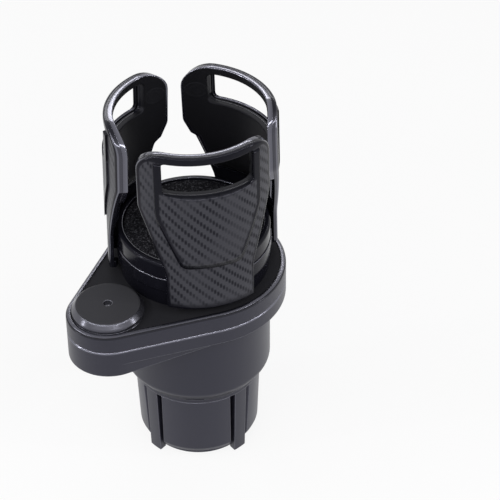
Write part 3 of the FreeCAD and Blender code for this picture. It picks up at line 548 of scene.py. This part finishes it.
# %% Give each solid its finish
FINISHES = {
    "base_cup": base_plastic, "foot_cover": wall_plastic, "foot_dial": wall_plastic,
    "arm_top": arm_plastic, "arm_bottom": wall_plastic, "platform_base": gloss_plastic,
    "pivot_cap": cap_plastic, "tray_ring": gloss_plastic,
    "foot_cam": acetal, "scroll_disc": acetal, "pivot_bush": acetal, "slide_washer": acetal,
    "foot_cover_screws": steel, "arm_screws": steel, "platform_screws": steel,
    "pivot_washer": steel, "pivot_screw": steel, "tray_washer": steel, "tray_screw": steel,
    "tray_pad": foam, "lower_pad": foam,
}
for number in range(1, 5):
    FINISHES["foot_wing_%d" % number] = wall_plastic
for number in range(1, 4):
    FINISHES["petal_shell_%d" % number] = gloss_plastic
    FINISHES["petal_liner_%d" % number] = inner_plastic
    FINISHES["petal_trim_%d" % number] = gloss_plastic
for node, finish in FINISHES.items():
    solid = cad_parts[node]
    solid.data.materials.clear()
    solid.data.materials.append(finish)
print("finished solids:", len(FINISHES))

# %% [markdown]
# ## The petals, as surfaces of two parameters
# A petal is a moulded leaf with a window in its head. Seen from its front it is a ring: the
# window is the hole and the outline is the rim. So its whole skin is one surface with two
# parameters. The first runs once round the window, and the second runs over the front, round the
# rim, over the back and out through the window again. At the edges it follows a quarter circle,
# which catches the light as the real edges do.

# %% Sizes of a petal, in millimetres
PETAL_FOOT_RADIUS = 49.0
PETAL_LEAN = 2.0
PETAL_BOTTOM = 126.5
PETAL_HEIGHT = 99.8
PETAL_TOP = PETAL_BOTTOM + PETAL_HEIGHT
SHELL_WALL = 2.6
LINER_WALL = 2.7
LINER_STEP = PETAL_TOP - 45.3
LINER_BOTTOM = 155.5
LINER_FADE = 163.0
HEAD_HALF = 36.8
HEAD_BOTTOM = PETAL_TOP - 36.3
STEM_HALF = 24.8
STEM_TOP = PETAL_BOTTOM + 22.5
SHOULDER = 13.0
WINDOW_HALF = 25.6
WINDOW_TOP = PETAL_TOP - 4.8
WINDOW_BOTTOM = WINDOW_TOP - 19.1
WINDOW_ROUND = 3.0
SIDE_TAPER = 0.0113
PETAL_ANGLES = {1: 0.0, 2: 120.0, 3: 240.0}
print("petals from %.1f to %.1f mm" % (PETAL_BOTTOM, PETAL_TOP))

# %% [markdown]
# An outline is drawn flat first, as corners whose roundings are arcs. These helpers round the
# corners, space points evenly, match two lines by direction and tell which way is out.

# %% Helpers for closed outlines
FINE_POINTS = 4000
EDGE_POINTS = 600


def rounded_outline(corners, steps=9):
    """Closed line through corners (across, up, radius): each corner is an arc that touches both
    sides, and its points are blended from the arc's two end directions by sines."""
    corner = np.array([c[:2] for c in corners], float)
    radius = np.array([c[2] for c in corners], float)[:, None]
    back = np.roll(corner, 1, axis=0) - corner
    ahead = np.roll(corner, -1, axis=0) - corner
    back /= np.linalg.norm(back, axis=1, keepdims=True)
    ahead /= np.linalg.norm(ahead, axis=1, keepdims=True)
    half = np.arccos(np.clip((back * ahead).sum(1, keepdims=True), -1, 1)) / 2
    bisector = back + ahead
    bisector /= np.linalg.norm(bisector, axis=1, keepdims=True)
    centre = corner + bisector * radius / np.sin(half)
    start = (corner + back * radius / np.tan(half) - centre)[:, None]
    end = (corner + ahead * radius / np.tan(half) - centre)[:, None]
    share = np.linspace(0, 1, steps)[None, :, None]
    sweep = (np.pi - 2 * half)[:, :, None]
    arc = (np.sin((1 - share) * sweep) * start + np.sin(share * sweep) * end) / np.sin(sweep)
    return (centre[:, None] + arc).reshape(-1, 2)


def evenly(line, count, closed=True):
    """Line resampled at equal steps along its length."""
    if closed:
        line = np.vstack([line, line[:1]])
    along = np.r_[0, np.cumsum(np.linalg.norm(np.diff(line, axis=0), axis=1))]
    at = np.linspace(0, along[-1], count, endpoint=not closed)
    return np.stack([np.interp(at, along, line[:, axis]) for axis in (0, 1)], axis=1)


def facing(inner, outer, middle):
    """Points of the inner loop that lie in the same directions from a middle point as the outer."""
    fine = evenly(inner, FINE_POINTS)
    bearing, wanted = [
        np.mod(np.arctan2(line[:, 1] - middle[1], line[:, 0] - middle[0]), 2 * np.pi)
        for line in (fine, outer)
    ]
    order = np.argsort(bearing)
    return np.stack([
        np.interp(wanted, bearing[order], fine[order, axis], period=2 * np.pi) for axis in (0, 1)
    ], axis=1)


def outward(line, closed=True):
    """Unit normals of a line that runs anticlockwise, pointing out of it."""
    if closed:
        along = np.roll(line, -1, axis=0) - np.roll(line, 1, axis=0)
    else:
        along = np.gradient(line, axis=0)
    along /= np.maximum(np.linalg.norm(along, axis=1, keepdims=True), 1e-9)
    return np.stack([along[:, 1], -along[:, 0]], axis=1)


def distance_to(points, line):
    """Shortest distance of each point to the points of a line."""
    gaps = points[..., None, :] - line
    return np.sqrt((gaps ** 2).sum(-1).min(-1))


# %% [markdown]
# A surface of two parameters is a grid of points, so one helper makes a mesh of any such grid,
# with its map and its film where it has them.

# %% Helpers for meshes


def grid_piece(name, places, finish, along_closed=True, across_closed=True, uv=None, film=None):
    """Mesh of a grid of points in millimetres, shaped (along, across, 3); either way may close."""
    rows, columns = places.shape[:2]
    i = np.arange(rows if along_closed else rows - 1)[:, None]
    j = np.arange(columns if across_closed else columns - 1)[None, :]
    i_next, j_next = (i + 1) % rows, (j + 1) % columns
    corners = (i * columns + j, i_next * columns + j, i_next * columns + j_next, i * columns + j_next)
    quads = np.stack(np.broadcast_arrays(*corners), axis=-1).reshape(-1, 4)
    mesh = bpy.data.meshes.new(name)
    mesh.from_pydata((places.reshape(-1, 3) * MM).tolist(), [], quads.tolist())
    mesh.polygons.foreach_set("use_smooth", np.ones(len(quads), bool))
    if uv is not None:
        layer = mesh.uv_layers.new(name="weave")
        layer.data.foreach_set("uv", uv.reshape(-1, 2)[quads.ravel()].astype(np.float32).ravel())
    if film is not None:
        layer = mesh.attributes.new("film", "FLOAT", "POINT")
        layer.data.foreach_set("value", film.astype(np.float32).ravel())
    mesh.materials.append(finish)
    mesh.update()
    piece = bpy.data.objects.new(name, mesh)
    scene.collection.objects.link(piece)
    return piece


def turned_about_axis(places, degrees):
    """Points turned about the upright axis."""
    turn = math.radians(degrees)
    x = places[..., 0] * math.cos(turn) - places[..., 1] * math.sin(turn)
    y = places[..., 0] * math.sin(turn) + places[..., 1] * math.cos(turn)
    return np.stack([x, y, places[..., 2]], axis=-1)


# %% [markdown]
# A petal leans in a little, and its sides lie between parallel and pointing at the axis. Both
# come from one mapping: a flat drawing of the petal is wrapped round the cone, the distance across
# becomes an angle, and the depth goes straight inward. Skin, panel and marks all go through it,
# so they fit each other.

# %% The mapping, and the skin of a leaf


def on_petal(flat, depth):
    """Place on the leaning wall: the radius is that of the front at this height less the depth,
    and the angle is the arcsine of the tapered distance across over the radius."""
    across, up = flat[..., 0], flat[..., 1]
    front = PETAL_FOOT_RADIUS - PETAL_LEAN * (up - PETAL_BOTTOM) / PETAL_HEIGHT
    radius = front - depth
    angle = np.arcsin(np.clip(across * (1 - SIDE_TAPER * depth) / radius, -1, 1))
    return np.stack([radius * np.cos(angle), radius * np.sin(angle), up], axis=-1)


def quarter_turns(points):
    """(Sine, cosine) over a quarter circle, and the same as (cosine, sine)."""
    turns = np.linspace(0, np.pi / 2, points)
    return [(np.sin(t), np.cos(t)) for t in turns], [(np.cos(t), np.sin(t)) for t in turns]


def edge_rows(line, inward, level, rise, turns):
    """Rows over a rounded edge: each moves inward and in level by its share of the rounding."""
    return [(line + inward * (1 - first), level + rise * (1 - second)) for first, second in turns]


def leaf_skin(outline, window, front, thickness, front_round, back_round, count=300, rows=22):
    """Closed skin between a window and an outline, as flat places and depths.

    A row at a share s is window + s * (outline - window). The rim and the window's edge are
    quarter circles, the same depth and width as their rounding.
    """
    rim = evenly(outline, count)
    hole = facing(window, rim, window.mean(axis=0))
    rim_out, hole_out = outward(rim), outward(hole)
    back = front + thickness
    rising, falling = quarter_turns(6)
    share = np.linspace(0, 1, rows)
    hole_front, rim_front = hole + hole_out * front_round, rim - rim_out * front_round
    hole_back, rim_back = hole + hole_out * back_round, rim - rim_out * back_round
    lines = [(hole_front + s * (rim_front - hole_front), front) for s in share]
    lines += edge_rows(rim, -rim_out * front_round, front, front_round, rising[1:])
    lines += edge_rows(rim, -rim_out * back_round, back, -back_round, falling)
    lines += [(rim_back + s * (hole_back - rim_back), back) for s in share[1:]]
    lines += edge_rows(hole, hole_out * back_round, back, -back_round, rising[1:])
    lines += edge_rows(hole, hole_out * front_round, front, front_round, falling[:-1])
    flat = np.stack([line for line, _ in lines], axis=1)
    depth = np.broadcast_to([float(d) for _, d in lines], flat.shape[:2])
    return flat, np.array(depth)


def weave_map(places):
    """Map of the film in centimetres: the arc across and the height."""
    angle = np.arctan2(places[..., 1], places[..., 0])
    return np.stack([angle * PETAL_FOOT_RADIUS, places[..., 2]], axis=-1) / 10


def both_sides(half):
    """Outline from its right half, listed upward, closed anticlockwise."""
    return half + [(-across, up, radius) for across, up, radius in reversed(half)]


# %% [markdown]
# The leaf is a stem that widens into a head, with a window near its top. The lining follows the
# head and reaches a little way down the stem, set in from the leaf's sides.

# %% Outlines of the leaf
LEAF = rounded_outline(both_sides([
    (STEM_HALF, PETAL_BOTTOM, 0.8),
    (STEM_HALF, STEM_TOP, 2 * SHOULDER),
    (HEAD_HALF, HEAD_BOTTOM, SHOULDER),
    (HEAD_HALF, PETAL_TOP, SHOULDER),
]))
SLOPE = (HEAD_HALF - STEM_HALF) / (HEAD_BOTTOM - STEM_TOP)
INSET = 2.2
INSET_RISE = 3.0


def half_width(up, inset=0.0):
    """Half the leaf's width at a height between stem and head."""
    return STEM_HALF - inset + SLOPE * (up - STEM_TOP)


HEAD = rounded_outline(both_sides([
    (half_width(LINER_BOTTOM, INSET), LINER_BOTTOM, INSET_RISE),
    (half_width(LINER_STEP - INSET_RISE, INSET), LINER_STEP - INSET_RISE, INSET_RISE),
    (half_width(LINER_STEP), LINER_STEP, 1.0),
    (HEAD_HALF, HEAD_BOTTOM, SHOULDER),
    (HEAD_HALF, PETAL_TOP, SHOULDER),
]))
WINDOW = rounded_outline(both_sides([
    (WINDOW_HALF, WINDOW_BOTTOM, WINDOW_ROUND),
    (WINDOW_HALF, WINDOW_TOP, WINDOW_ROUND),
]))
print("outline points:", len(LEAF), len(HEAD), len(WINDOW))

# %% [markdown]
# Shell and lining are two skins, one behind the other. A point's distance from the outline and
# its depth tell what covers it: film, plain plastic or a polished edge.

# %% Shells and liners
SHELL_ROUND = 1.2
LINER_ROUND = 0.6
BURR = 0.12
FILM_CLEAR = 1.5
FILM_FADE = 0.6
POLISH_WIDTH = 1.3
POLISH_FROM = 0.4
POLISH_TO = 1.15
FRONT_POLISH = (-1.0, 0.9)
BACK_POLISH = (-0.4, 0.35)
TOP_ZONE = 6
TOP_FADE = 4
LINER_THINNEST = 0.1
LINER_EDGE = 0.8
FRONT_FACE = 0.02


def polish(levels, flat):
    """Film value of an edge: its value along the sides, and what of it is lost at the top."""
    value, lost = levels
    return value + lost * np.clip((flat[..., 1] - PETAL_TOP + TOP_ZONE) / TOP_FADE, 0, 1)


def under(flat, level):
    """1 below a level, fading to 0 over the millimetre above it."""
    return np.clip(level + 1.0 - flat[..., 1], 0, 1)


def dress_shell(number):
    """Outer leaf: carbon film on the front, smooth plastic on the rounded edges and the top bar."""
    flat, depth = leaf_skin(LEAF, WINDOW, 0.0, SHELL_WALL, SHELL_ROUND, BURR)
    places = on_petal(flat, depth)
    clear = distance_to(flat, evenly(LEAF, EDGE_POINTS))
    edge = np.clip((clear - FILM_CLEAR) / FILM_FADE, 0, 1)
    rim = np.where(depth < POLISH_TO, polish(FRONT_POLISH, flat), polish(BACK_POLISH, flat))
    rim = np.where((depth >= POLISH_FROM) & (clear < POLISH_WIDTH), rim, 0.0)
    film = np.where(depth > FRONT_FACE, rim, edge * under(flat, WINDOW_TOP))
    turned = turned_about_axis(places, PETAL_ANGLES[number])
    piece = grid_piece("leaf_%d" % number, turned, film_plastic, uv=weave_map(places), film=film)
    return piece


def dress_liner(number):
    """Inner skin of the head, thinning out towards the stem; dull except on its outer edges."""
    flat, depth = leaf_skin(HEAD, WINDOW, SHELL_WALL, LINER_WALL, BURR, LINER_ROUND)
    full = np.clip((flat[..., 1] - LINER_BOTTOM) / (LINER_FADE - LINER_BOTTOM), LINER_THINNEST, 1)
    depth = SHELL_WALL + (depth - SHELL_WALL) * full
    clear = distance_to(flat, evenly(HEAD, EDGE_POINTS))
    innermost = depth - SHELL_WALL > (LINER_WALL - LINER_ROUND) * full
    rounded = np.where(innermost, -1.0, polish(BACK_POLISH, flat))
    dull = np.where(clear > LINER_EDGE, 1.0, rounded)
    places = turned_about_axis(on_petal(flat, depth), PETAL_ANGLES[number])
    piece = grid_piece("head_lining_%d" % number, places, lining_plastic, film=dull)
    return piece


# %% [markdown]
# The panel is a plate that stands a millimetre proud of the leaf. Its two arms run up beside the
# window, so its first parameter runs from one arm's end to the other's. Its edge falls over a
# quarter circle, which is the bright line that frames the panel in the photograph.

# %% Raised panel
PANEL_RAISE = 1.1
PANEL_ROUND = 0.9
PANEL_APRON = 0.6
PANEL_LIFT = 0.03
PANEL_HALF = 27.7
PANEL_FILM_CLEAR = 1.3
PANEL_FILM_FADE = 0.3
FLAT_SHARE = 0.99
PAINTED_GAP_SHARE = 0.3
PANEL_KEYS = [
    ((WINDOW_HALF, WINDOW_TOP), (PANEL_HALF, WINDOW_TOP)),
    ((WINDOW_HALF, WINDOW_BOTTOM + 3.0), (PANEL_HALF, WINDOW_BOTTOM - 2.0)),
    ((WINDOW_HALF - 0.9, WINDOW_BOTTOM + 0.9), (PANEL_HALF, WINDOW_BOTTOM - 12.0)),
    ((WINDOW_HALF - 3.0, WINDOW_BOTTOM), (27.3, WINDOW_BOTTOM - 16.4)),
    ((15.5, WINDOW_BOTTOM), (19.9, 166.2)),
    ((13.5, WINDOW_BOTTOM), (18.9, 163.4)),
    ((11.5, WINDOW_BOTTOM), (17.2, 159.2)),
    ((10.5, WINDOW_BOTTOM), (16.2, 157.2)),
    ((9.5, WINDOW_BOTTOM), (14.4, 156.2)),
    ((0.0, WINDOW_BOTTOM), (0.0, 156.2)),
]


def panel_sides(count=240):
    """Inner and outer line of the panel with matching points, from the right arm to the left."""
    keys = np.array(PANEL_KEYS, float)
    keys = np.concatenate([keys, keys[-2::-1] * [-1, 1]])
    steps = np.linalg.norm(np.diff(keys[:, 1], axis=0), axis=1)
    along = np.r_[0, np.cumsum(steps)] / steps.sum()
    at = np.linspace(0, 1, count)
    lines = [np.stack([np.interp(at, along, keys[:, side, axis]) for axis in (0, 1)], axis=1)
             for side in (0, 1)]
    kernel = np.array([1, 2, 3, 2, 1]) / 9.0
    for line in lines:
        for axis in (0, 1):
            line[2:-2, axis] = np.convolve(line[:, axis], kernel, mode="valid")
    return lines


def panel_skin():
    """Raised sheet: flat in the middle, a quarter circle at every edge, and a narrow flat apron
    outside, on which the dark line round the panel is a painted shadow."""
    inner, outer = panel_sides()
    out, away = outward(outer, closed=False), -outward(inner, closed=False)
    rising, falling = quarter_turns(7)
    share = np.linspace(0, 1, 14)
    inner_top, outer_top = inner - away * PANEL_ROUND, outer - out * PANEL_ROUND
    lines = [(inner, PANEL_LIFT)]
    lines += edge_rows(inner, -away * PANEL_ROUND, PANEL_RAISE, -PANEL_ROUND, falling[:-1])
    lines += [(inner_top + s * (outer_top - inner_top), PANEL_RAISE) for s in share]
    lines += edge_rows(outer, -out * PANEL_ROUND, PANEL_RAISE, -PANEL_ROUND, rising[1:])
    lines += [(outer, PANEL_LIFT), (outer + out * PANEL_APRON, PANEL_LIFT)]
    flat = np.stack([line for line, _ in lines], axis=1)
    raised = np.broadcast_to([float(h) for _, h in lines], flat.shape[:2])
    from_end = np.clip((WINDOW_TOP - flat[..., 1]) / PANEL_ROUND, 0, 1)
    cap = np.sqrt(1 - (1 - from_end) ** 2)
    return flat, np.maximum(raised * cap, PANEL_LIFT)


def dress_panel(number):
    """Raised panel: film on its flat, a polished edge, and a painted shadow round its foot."""
    flat, raised = panel_skin()
    places = on_petal(flat, -raised)
    clear = distance_to(flat, panel_sides()[1])
    film = np.clip((clear - PANEL_FILM_CLEAR) / PANEL_FILM_FADE, 0, 1)
    # The foot of the edge and the apron get -2, a painted shadow.
    edge = np.where(raised > PAINTED_GAP_SHARE * PANEL_RAISE, -1.0, -2.0)
    film = np.where(raised > FLAT_SHARE * PANEL_RAISE, film, edge) * under(flat, WINDOW_BOTTOM)
    turned = turned_about_axis(places, PETAL_ANGLES[number])
    piece = grid_piece("carbon_panel_%d" % number, turned, film_plastic, along_closed=False,
                       across_closed=False, uv=weave_map(places), film=film)
    return piece


# %% [markdown]
# Under each leaf a slide runs into the platform, with a pin for the scroll and two small heels
# that steady the leaf's foot. A block with softened edges can be had from a ball: shrink the ball
# to the edge's rounding and push each eighth of it out to its own corner. The long quads that
# this pulls open are the flat faces.

# %% Rounded blocks and posts
ARC_POINTS = 6
SLIDE_BOX = ((16, -7, PETAL_BOTTOM), (46.9, 7, 131.5))
SLIDE_ROUND = 0.4
HEEL_BOXES = {
    "left": ((38.8, -23.5, PETAL_BOTTOM), (42.8, -19.5, 131.0)),
    "right": ((38.8, 19.5, PETAL_BOTTOM), (42.8, 23.5, 131.0)),
}
HEEL_ROUND = 0.5
PIN_PLACE = (22.0, 0.0)
PIN_PROFILE = [(0, 131), (2.2, 131), (2.2, 136.4), (0, 136.4)]
PIN_ROUND = 0.3
PIN_POINTS = 32


def rounded_block(name, low, high, rounding, finish, degrees):
    """Box with softened edges: centre + side * (half size - rounding) + direction * rounding."""
    low, high = np.array(low, float), np.array(high, float)
    arc = np.linspace(0, 90, ARC_POINTS)
    rise = np.radians(np.concatenate([arc - 90, arc]))
    up_side = np.repeat([-1.0, 1.0], ARC_POINTS)
    turn = np.radians(np.concatenate([q + arc for q in (0, 90, 180, 270)]))
    quarter = np.repeat([0, 1, 2, 3], ARC_POINTS)
    across_side = np.array([1.0, -1.0, -1.0, 1.0])[quarter][:, None]
    along_side = np.array([1.0, 1.0, -1.0, -1.0])[quarter][:, None]
    way = np.stack(np.broadcast_arrays(
        np.cos(turn)[:, None] * np.cos(rise), np.sin(turn)[:, None] * np.cos(rise), np.sin(rise)[None],
    ), axis=-1)
    side = np.stack(np.broadcast_arrays(across_side, along_side, up_side[None]), axis=-1)
    places = (low + high) / 2 + side * ((high - low) / 2 - rounding) + way * rounding
    middle = places[:, [0, -1]].mean(axis=0, keepdims=True).repeat(len(turn), axis=0)
    places = np.concatenate([middle[:, :1], places, middle[:, 1:]], axis=1)
    return grid_piece(name, turned_about_axis(places, degrees), finish, across_closed=False)


def turned_piece(name, profile, finish, centre, degrees, count):
    """Surface of revolution: each profile point (radius, height) runs once round its own axis."""
    profile = np.array(profile, float)
    turn = np.linspace(0, 2 * np.pi, count, endpoint=False)[:, None]
    places = np.stack(np.broadcast_arrays(
        centre[0] + profile[:, 0] * np.cos(turn), centre[1] + profile[:, 0] * np.sin(turn), profile[:, 1],
    ), axis=-1)
    return grid_piece(name, turned_about_axis(places, degrees), finish, across_closed=False)


def eased(profile, rounding, steps=5):
    """Profile whose inner corners are rounded, while its first and last points stay."""
    full = np.array(profile, float)
    closed = rounded_outline([(*point, rounding) for point in full], steps)
    return np.vstack([full[:1], closed[steps:-steps], full[-1:]])


def dress_slide(number):
    """Slide, pin and heels under a leaf, to the sizes of its solid."""
    degrees = PETAL_ANGLES[number]
    slide = rounded_block("slide_%d" % number, *SLIDE_BOX, SLIDE_ROUND, gloss_plastic, degrees)
    heels = [
        rounded_block("heel_%d_%s" % (number, side), *box, HEEL_ROUND, gloss_plastic, degrees)
        for side, box in HEEL_BOXES.items()
    ]
    pin = turned_piece("slide_pin_%d" % number, eased(PIN_PROFILE, PIN_ROUND), gloss_plastic,
                       PIN_PLACE, degrees, PIN_POINTS)
    return [slide, pin] + heels


# %% [markdown]
# Inside each head two round marks show where the mould's ejectors pushed the part out. A mark is
# a shallow disc with two raised rings, drawn flat in polar form and mapped like the leaf.

# %% Ejector marks
MARK_ACROSS = 30.6
MARK_UP = 210.4
MARK_RADIUS = 5.2
MARK_RINGS = [(0.12, 4.6, 0.28), (0.07, 2.4, 0.3)]
MARK_LIFT = 0.02
MARK_SUNK = -0.05


def dress_mark(number, side):
    """Disc whose height is two narrow bell curves over the radius: (height, radius, width) each."""
    radius = np.linspace(0.0, 1.0, 26) * MARK_RADIUS
    turn = np.linspace(0, 2 * np.pi, 64, endpoint=False)[:, None]
    height = sum(high * np.exp(-((radius - at) / width) ** 2) for high, at, width in MARK_RINGS)
    height = np.where(radius >= MARK_RADIUS, MARK_SUNK, height + MARK_LIFT)
    flat = np.stack(np.broadcast_arrays(
        side * MARK_ACROSS + radius * np.cos(turn), MARK_UP + radius * np.sin(turn),
    ), axis=-1)
    places = on_petal(flat, SHELL_WALL + LINER_WALL + np.broadcast_to(height, flat.shape[:2]))
    name = "ejector_mark_%d_%s" % (number, "left" if side < 0 else "right")
    return grid_piece(name, turned_about_axis(places, PETAL_ANGLES[number]), inner_plastic,
                      across_closed=False)


# %% [markdown]
# A loop makes the three petals. Every piece of a petal rides on that petal's body, and so it moves
# out with it when the tray turns.

# %% Dress the three petals
for number in PETAL_ANGLES:
    shell, lining, panel = dress_shell(number), dress_liner(number), dress_panel(number)
    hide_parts("petal_shell_%d" % number)
    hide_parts("petal_liner_%d" % number)
    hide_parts("petal_trim_%d" % number)
    carriers = dress_slide(number)
    marks = [dress_mark(number, side) for side in (-1, 1)]
    for piece in [shell, lining, panel] + carriers + marks:
        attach(piece, "petal_%d" % number)
    print("petal", number, "faces:", sum(len(p.data.polygons) for p in [shell, lining, panel]))

# %% [markdown]
# ## Foam pads
# A pad is a disc punched from sheet foam. Its top stands a little higher towards the edge, and
# its surface is uneven over a few millimetres. The unevenness is a sum of plane waves with random
# directions, which repeats nowhere.

# %% Pads
PAD_ROUND = 0.9
PAD_RINGS = 70
PAD_POINTS = 240
PAD_SWELL = 0.25
WAVES = 40
WAVE_HEIGHT = 0.015
SHORTEST_WAVE = 2.0
LONGEST_WAVE = 6.0


def foam_disc(name, radius, low, high, seed):
    """Disc of foam: rings out from the middle, then a rounded edge, then the side and the bottom."""
    quarter = np.linspace(0, np.pi / 2, 6)[1:]
    flat_radius = radius - PAD_ROUND
    rounded = flat_radius + PAD_ROUND * np.sin(quarter)
    ring = np.r_[np.linspace(0.0, flat_radius, PAD_RINGS), rounded, radius, 0.0]
    rise = np.r_[np.full(PAD_RINGS, high), high - PAD_ROUND * (1 - np.cos(quarter)), low, low]
    turn = np.linspace(0, 2 * np.pi, PAD_POINTS, endpoint=False)[:, None]
    x, y = ring * np.cos(turn), ring * np.sin(turn)
    rng = np.random.default_rng(seed)
    waves = np.zeros_like(x)
    for _ in range(WAVES):
        bearing = rng.uniform(0, 2 * np.pi)
        length = rng.uniform(SHORTEST_WAVE, LONGEST_WAVE)
        phase = rng.uniform(0, 2 * np.pi)
        waves += np.sin((x * math.cos(bearing) + y * math.sin(bearing)) * 2 * np.pi / length + phase)
    top = rise > low + PAD_ROUND
    uneven = np.where(top, WAVE_HEIGHT * waves - PAD_SWELL * (1 - ring / radius), 0.0)
    places = np.stack([x, y, rise + uneven], axis=-1)
    return grid_piece(name, places, foam, across_closed=False)


for name, body, radius, low, high, seed in (
    ("tray_pad", "tray", 39.3, 147.0, 150.55, 3),
    ("lower_pad", "base", 28.6, 13.4, 15.95, 5),
):
    piece = foam_disc(name + "_foam", radius, low, high, seed)
    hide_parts(name)
    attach(piece, body)
print("pads dressed")

# %% [markdown]
# ## Floor and background
# A product photograph on white has a bright table. The floor is white where the camera or a
# mirror-like surface looks at it, and it still takes the object's shadow. The world is white to
# look at too, and lights the object evenly at a lower level.

# %% Floor and world
WORLD_LEVEL = 0.3
FLOOR_COLOR = (0.88, 0.88, 0.88)
FLOOR_ROUGHNESS = 0.9
FLOOR_WHITE = 0.86
FLOOR_REACH = 3.0


def seen_directly(owner):
    """1 for rays from the camera, from reflections and through glass, and 0 for the rest."""
    path = add_node(owner, "ShaderNodeLightPath").outputs
    passed_on = math_node(owner, "MAXIMUM", path["Is Glossy Ray"], path["Is Transmission Ray"])
    return math_node(owner, "MAXIMUM", path["Is Camera Ray"], passed_on)


def white_world():
    """World that is white to look at and in reflections, and gives an even fill light."""
    world = bpy.data.worlds.new("studio")
    scene.world = world
    world.use_nodes = True
    background = world.node_tree.nodes["Background"]
    background.inputs["Color"].default_value = (1.0, 1.0, 1.0, 1.0)
    strength = spread(world, seen_directly(world), WORLD_LEVEL, 1.0, 0.0, 1.0)
    link(world, strength, background, "Strength")


def white_floor():
    """Pale table: mostly white where it is looked at, and it takes the object's shadow."""
    material, shader = new_material("pale_floor", FLOOR_COLOR, FLOOR_ROUGHNESS)
    share = times(material, seen_directly(material), FLOOR_WHITE)
    glow = add_node(material, "ShaderNodeEmission").outputs[0]
    inputs = {"Fac": share, 1: shader.outputs[0], 2: glow}
    mix = add_node(material, "ShaderNodeMixShader", inputs).outputs[0]
    link(material, mix, material.node_tree.nodes["Material Output"], "Surface")
    mesh = bpy.data.meshes.new("floor")
    corners = [(x * FLOOR_REACH, y * FLOOR_REACH, 0.0) for x, y in ((-1, -1), (1, -1), (1, 1), (-1, 1))]
    mesh.from_pydata(corners, [], [(0, 1, 2, 3)])
    mesh.materials.append(material)
    floor = bpy.data.objects.new("floor", mesh)
    scene.collection.objects.link(floor)


white_world()
white_floor()
print("world level:", WORLD_LEVEL)

# %% [markdown]
# ## Lamps
# Long narrow strips hang in front, at both sides and behind, and an upright one stands low on each
# side, so a rounded edge shows them as fine bright lines. Each has a name, its bearing from the
# camera in degrees, its distance and height, its own width and height, and its power in watts.

# %% Soft lamps
LAMPS = [
    ("front_strip", -8, 1.05, 1.0, 1.5, 0.06, 7.0),
    ("left_strip", -72, 1.05, 1.0, 1.1, 0.06, 5.0),
    ("right_strip", 55, 1.05, 1.0, 1.1, 0.06, 5.0),
    ("back_strip", 176, 1.2, 1.06, 1.7, 0.05, 3.0),
    ("left_side", -75, 1.3, 0.35, 0.08, 0.6, 3.0),
    ("right_side", 80, 1.3, 0.35, 0.08, 0.6, 3.0),
]
LAMP_AIM = (0.0, 0.0, 0.12)


def soft_lamp(name, place, aim, width, height, power):
    """Rectangular lamp at a place, turned to face a point."""
    data = bpy.data.lights.new(name, "AREA")
    data.shape = "RECTANGLE"
    data.size = width
    data.size_y = height
    data.energy = power
    lamp = bpy.data.objects.new(name, data)
    scene.collection.objects.link(lamp)
    back = np.array(place) - np.array(aim)
    back /= np.linalg.norm(back)
    right = np.cross([0.0, 0.0, 1.0], back)
    right /= np.linalg.norm(right)
    lamp.matrix_world = placed(right, np.cross(back, right), back, place)


for name, bearing, away, up, width, height, power in LAMPS:
    turn = AZIMUTH + math.radians(bearing)
    soft_lamp(name, (away * math.sin(turn), -away * math.cos(turn), up), LAMP_AIM, width, height, power)
print("lamps:", len(LAMPS))
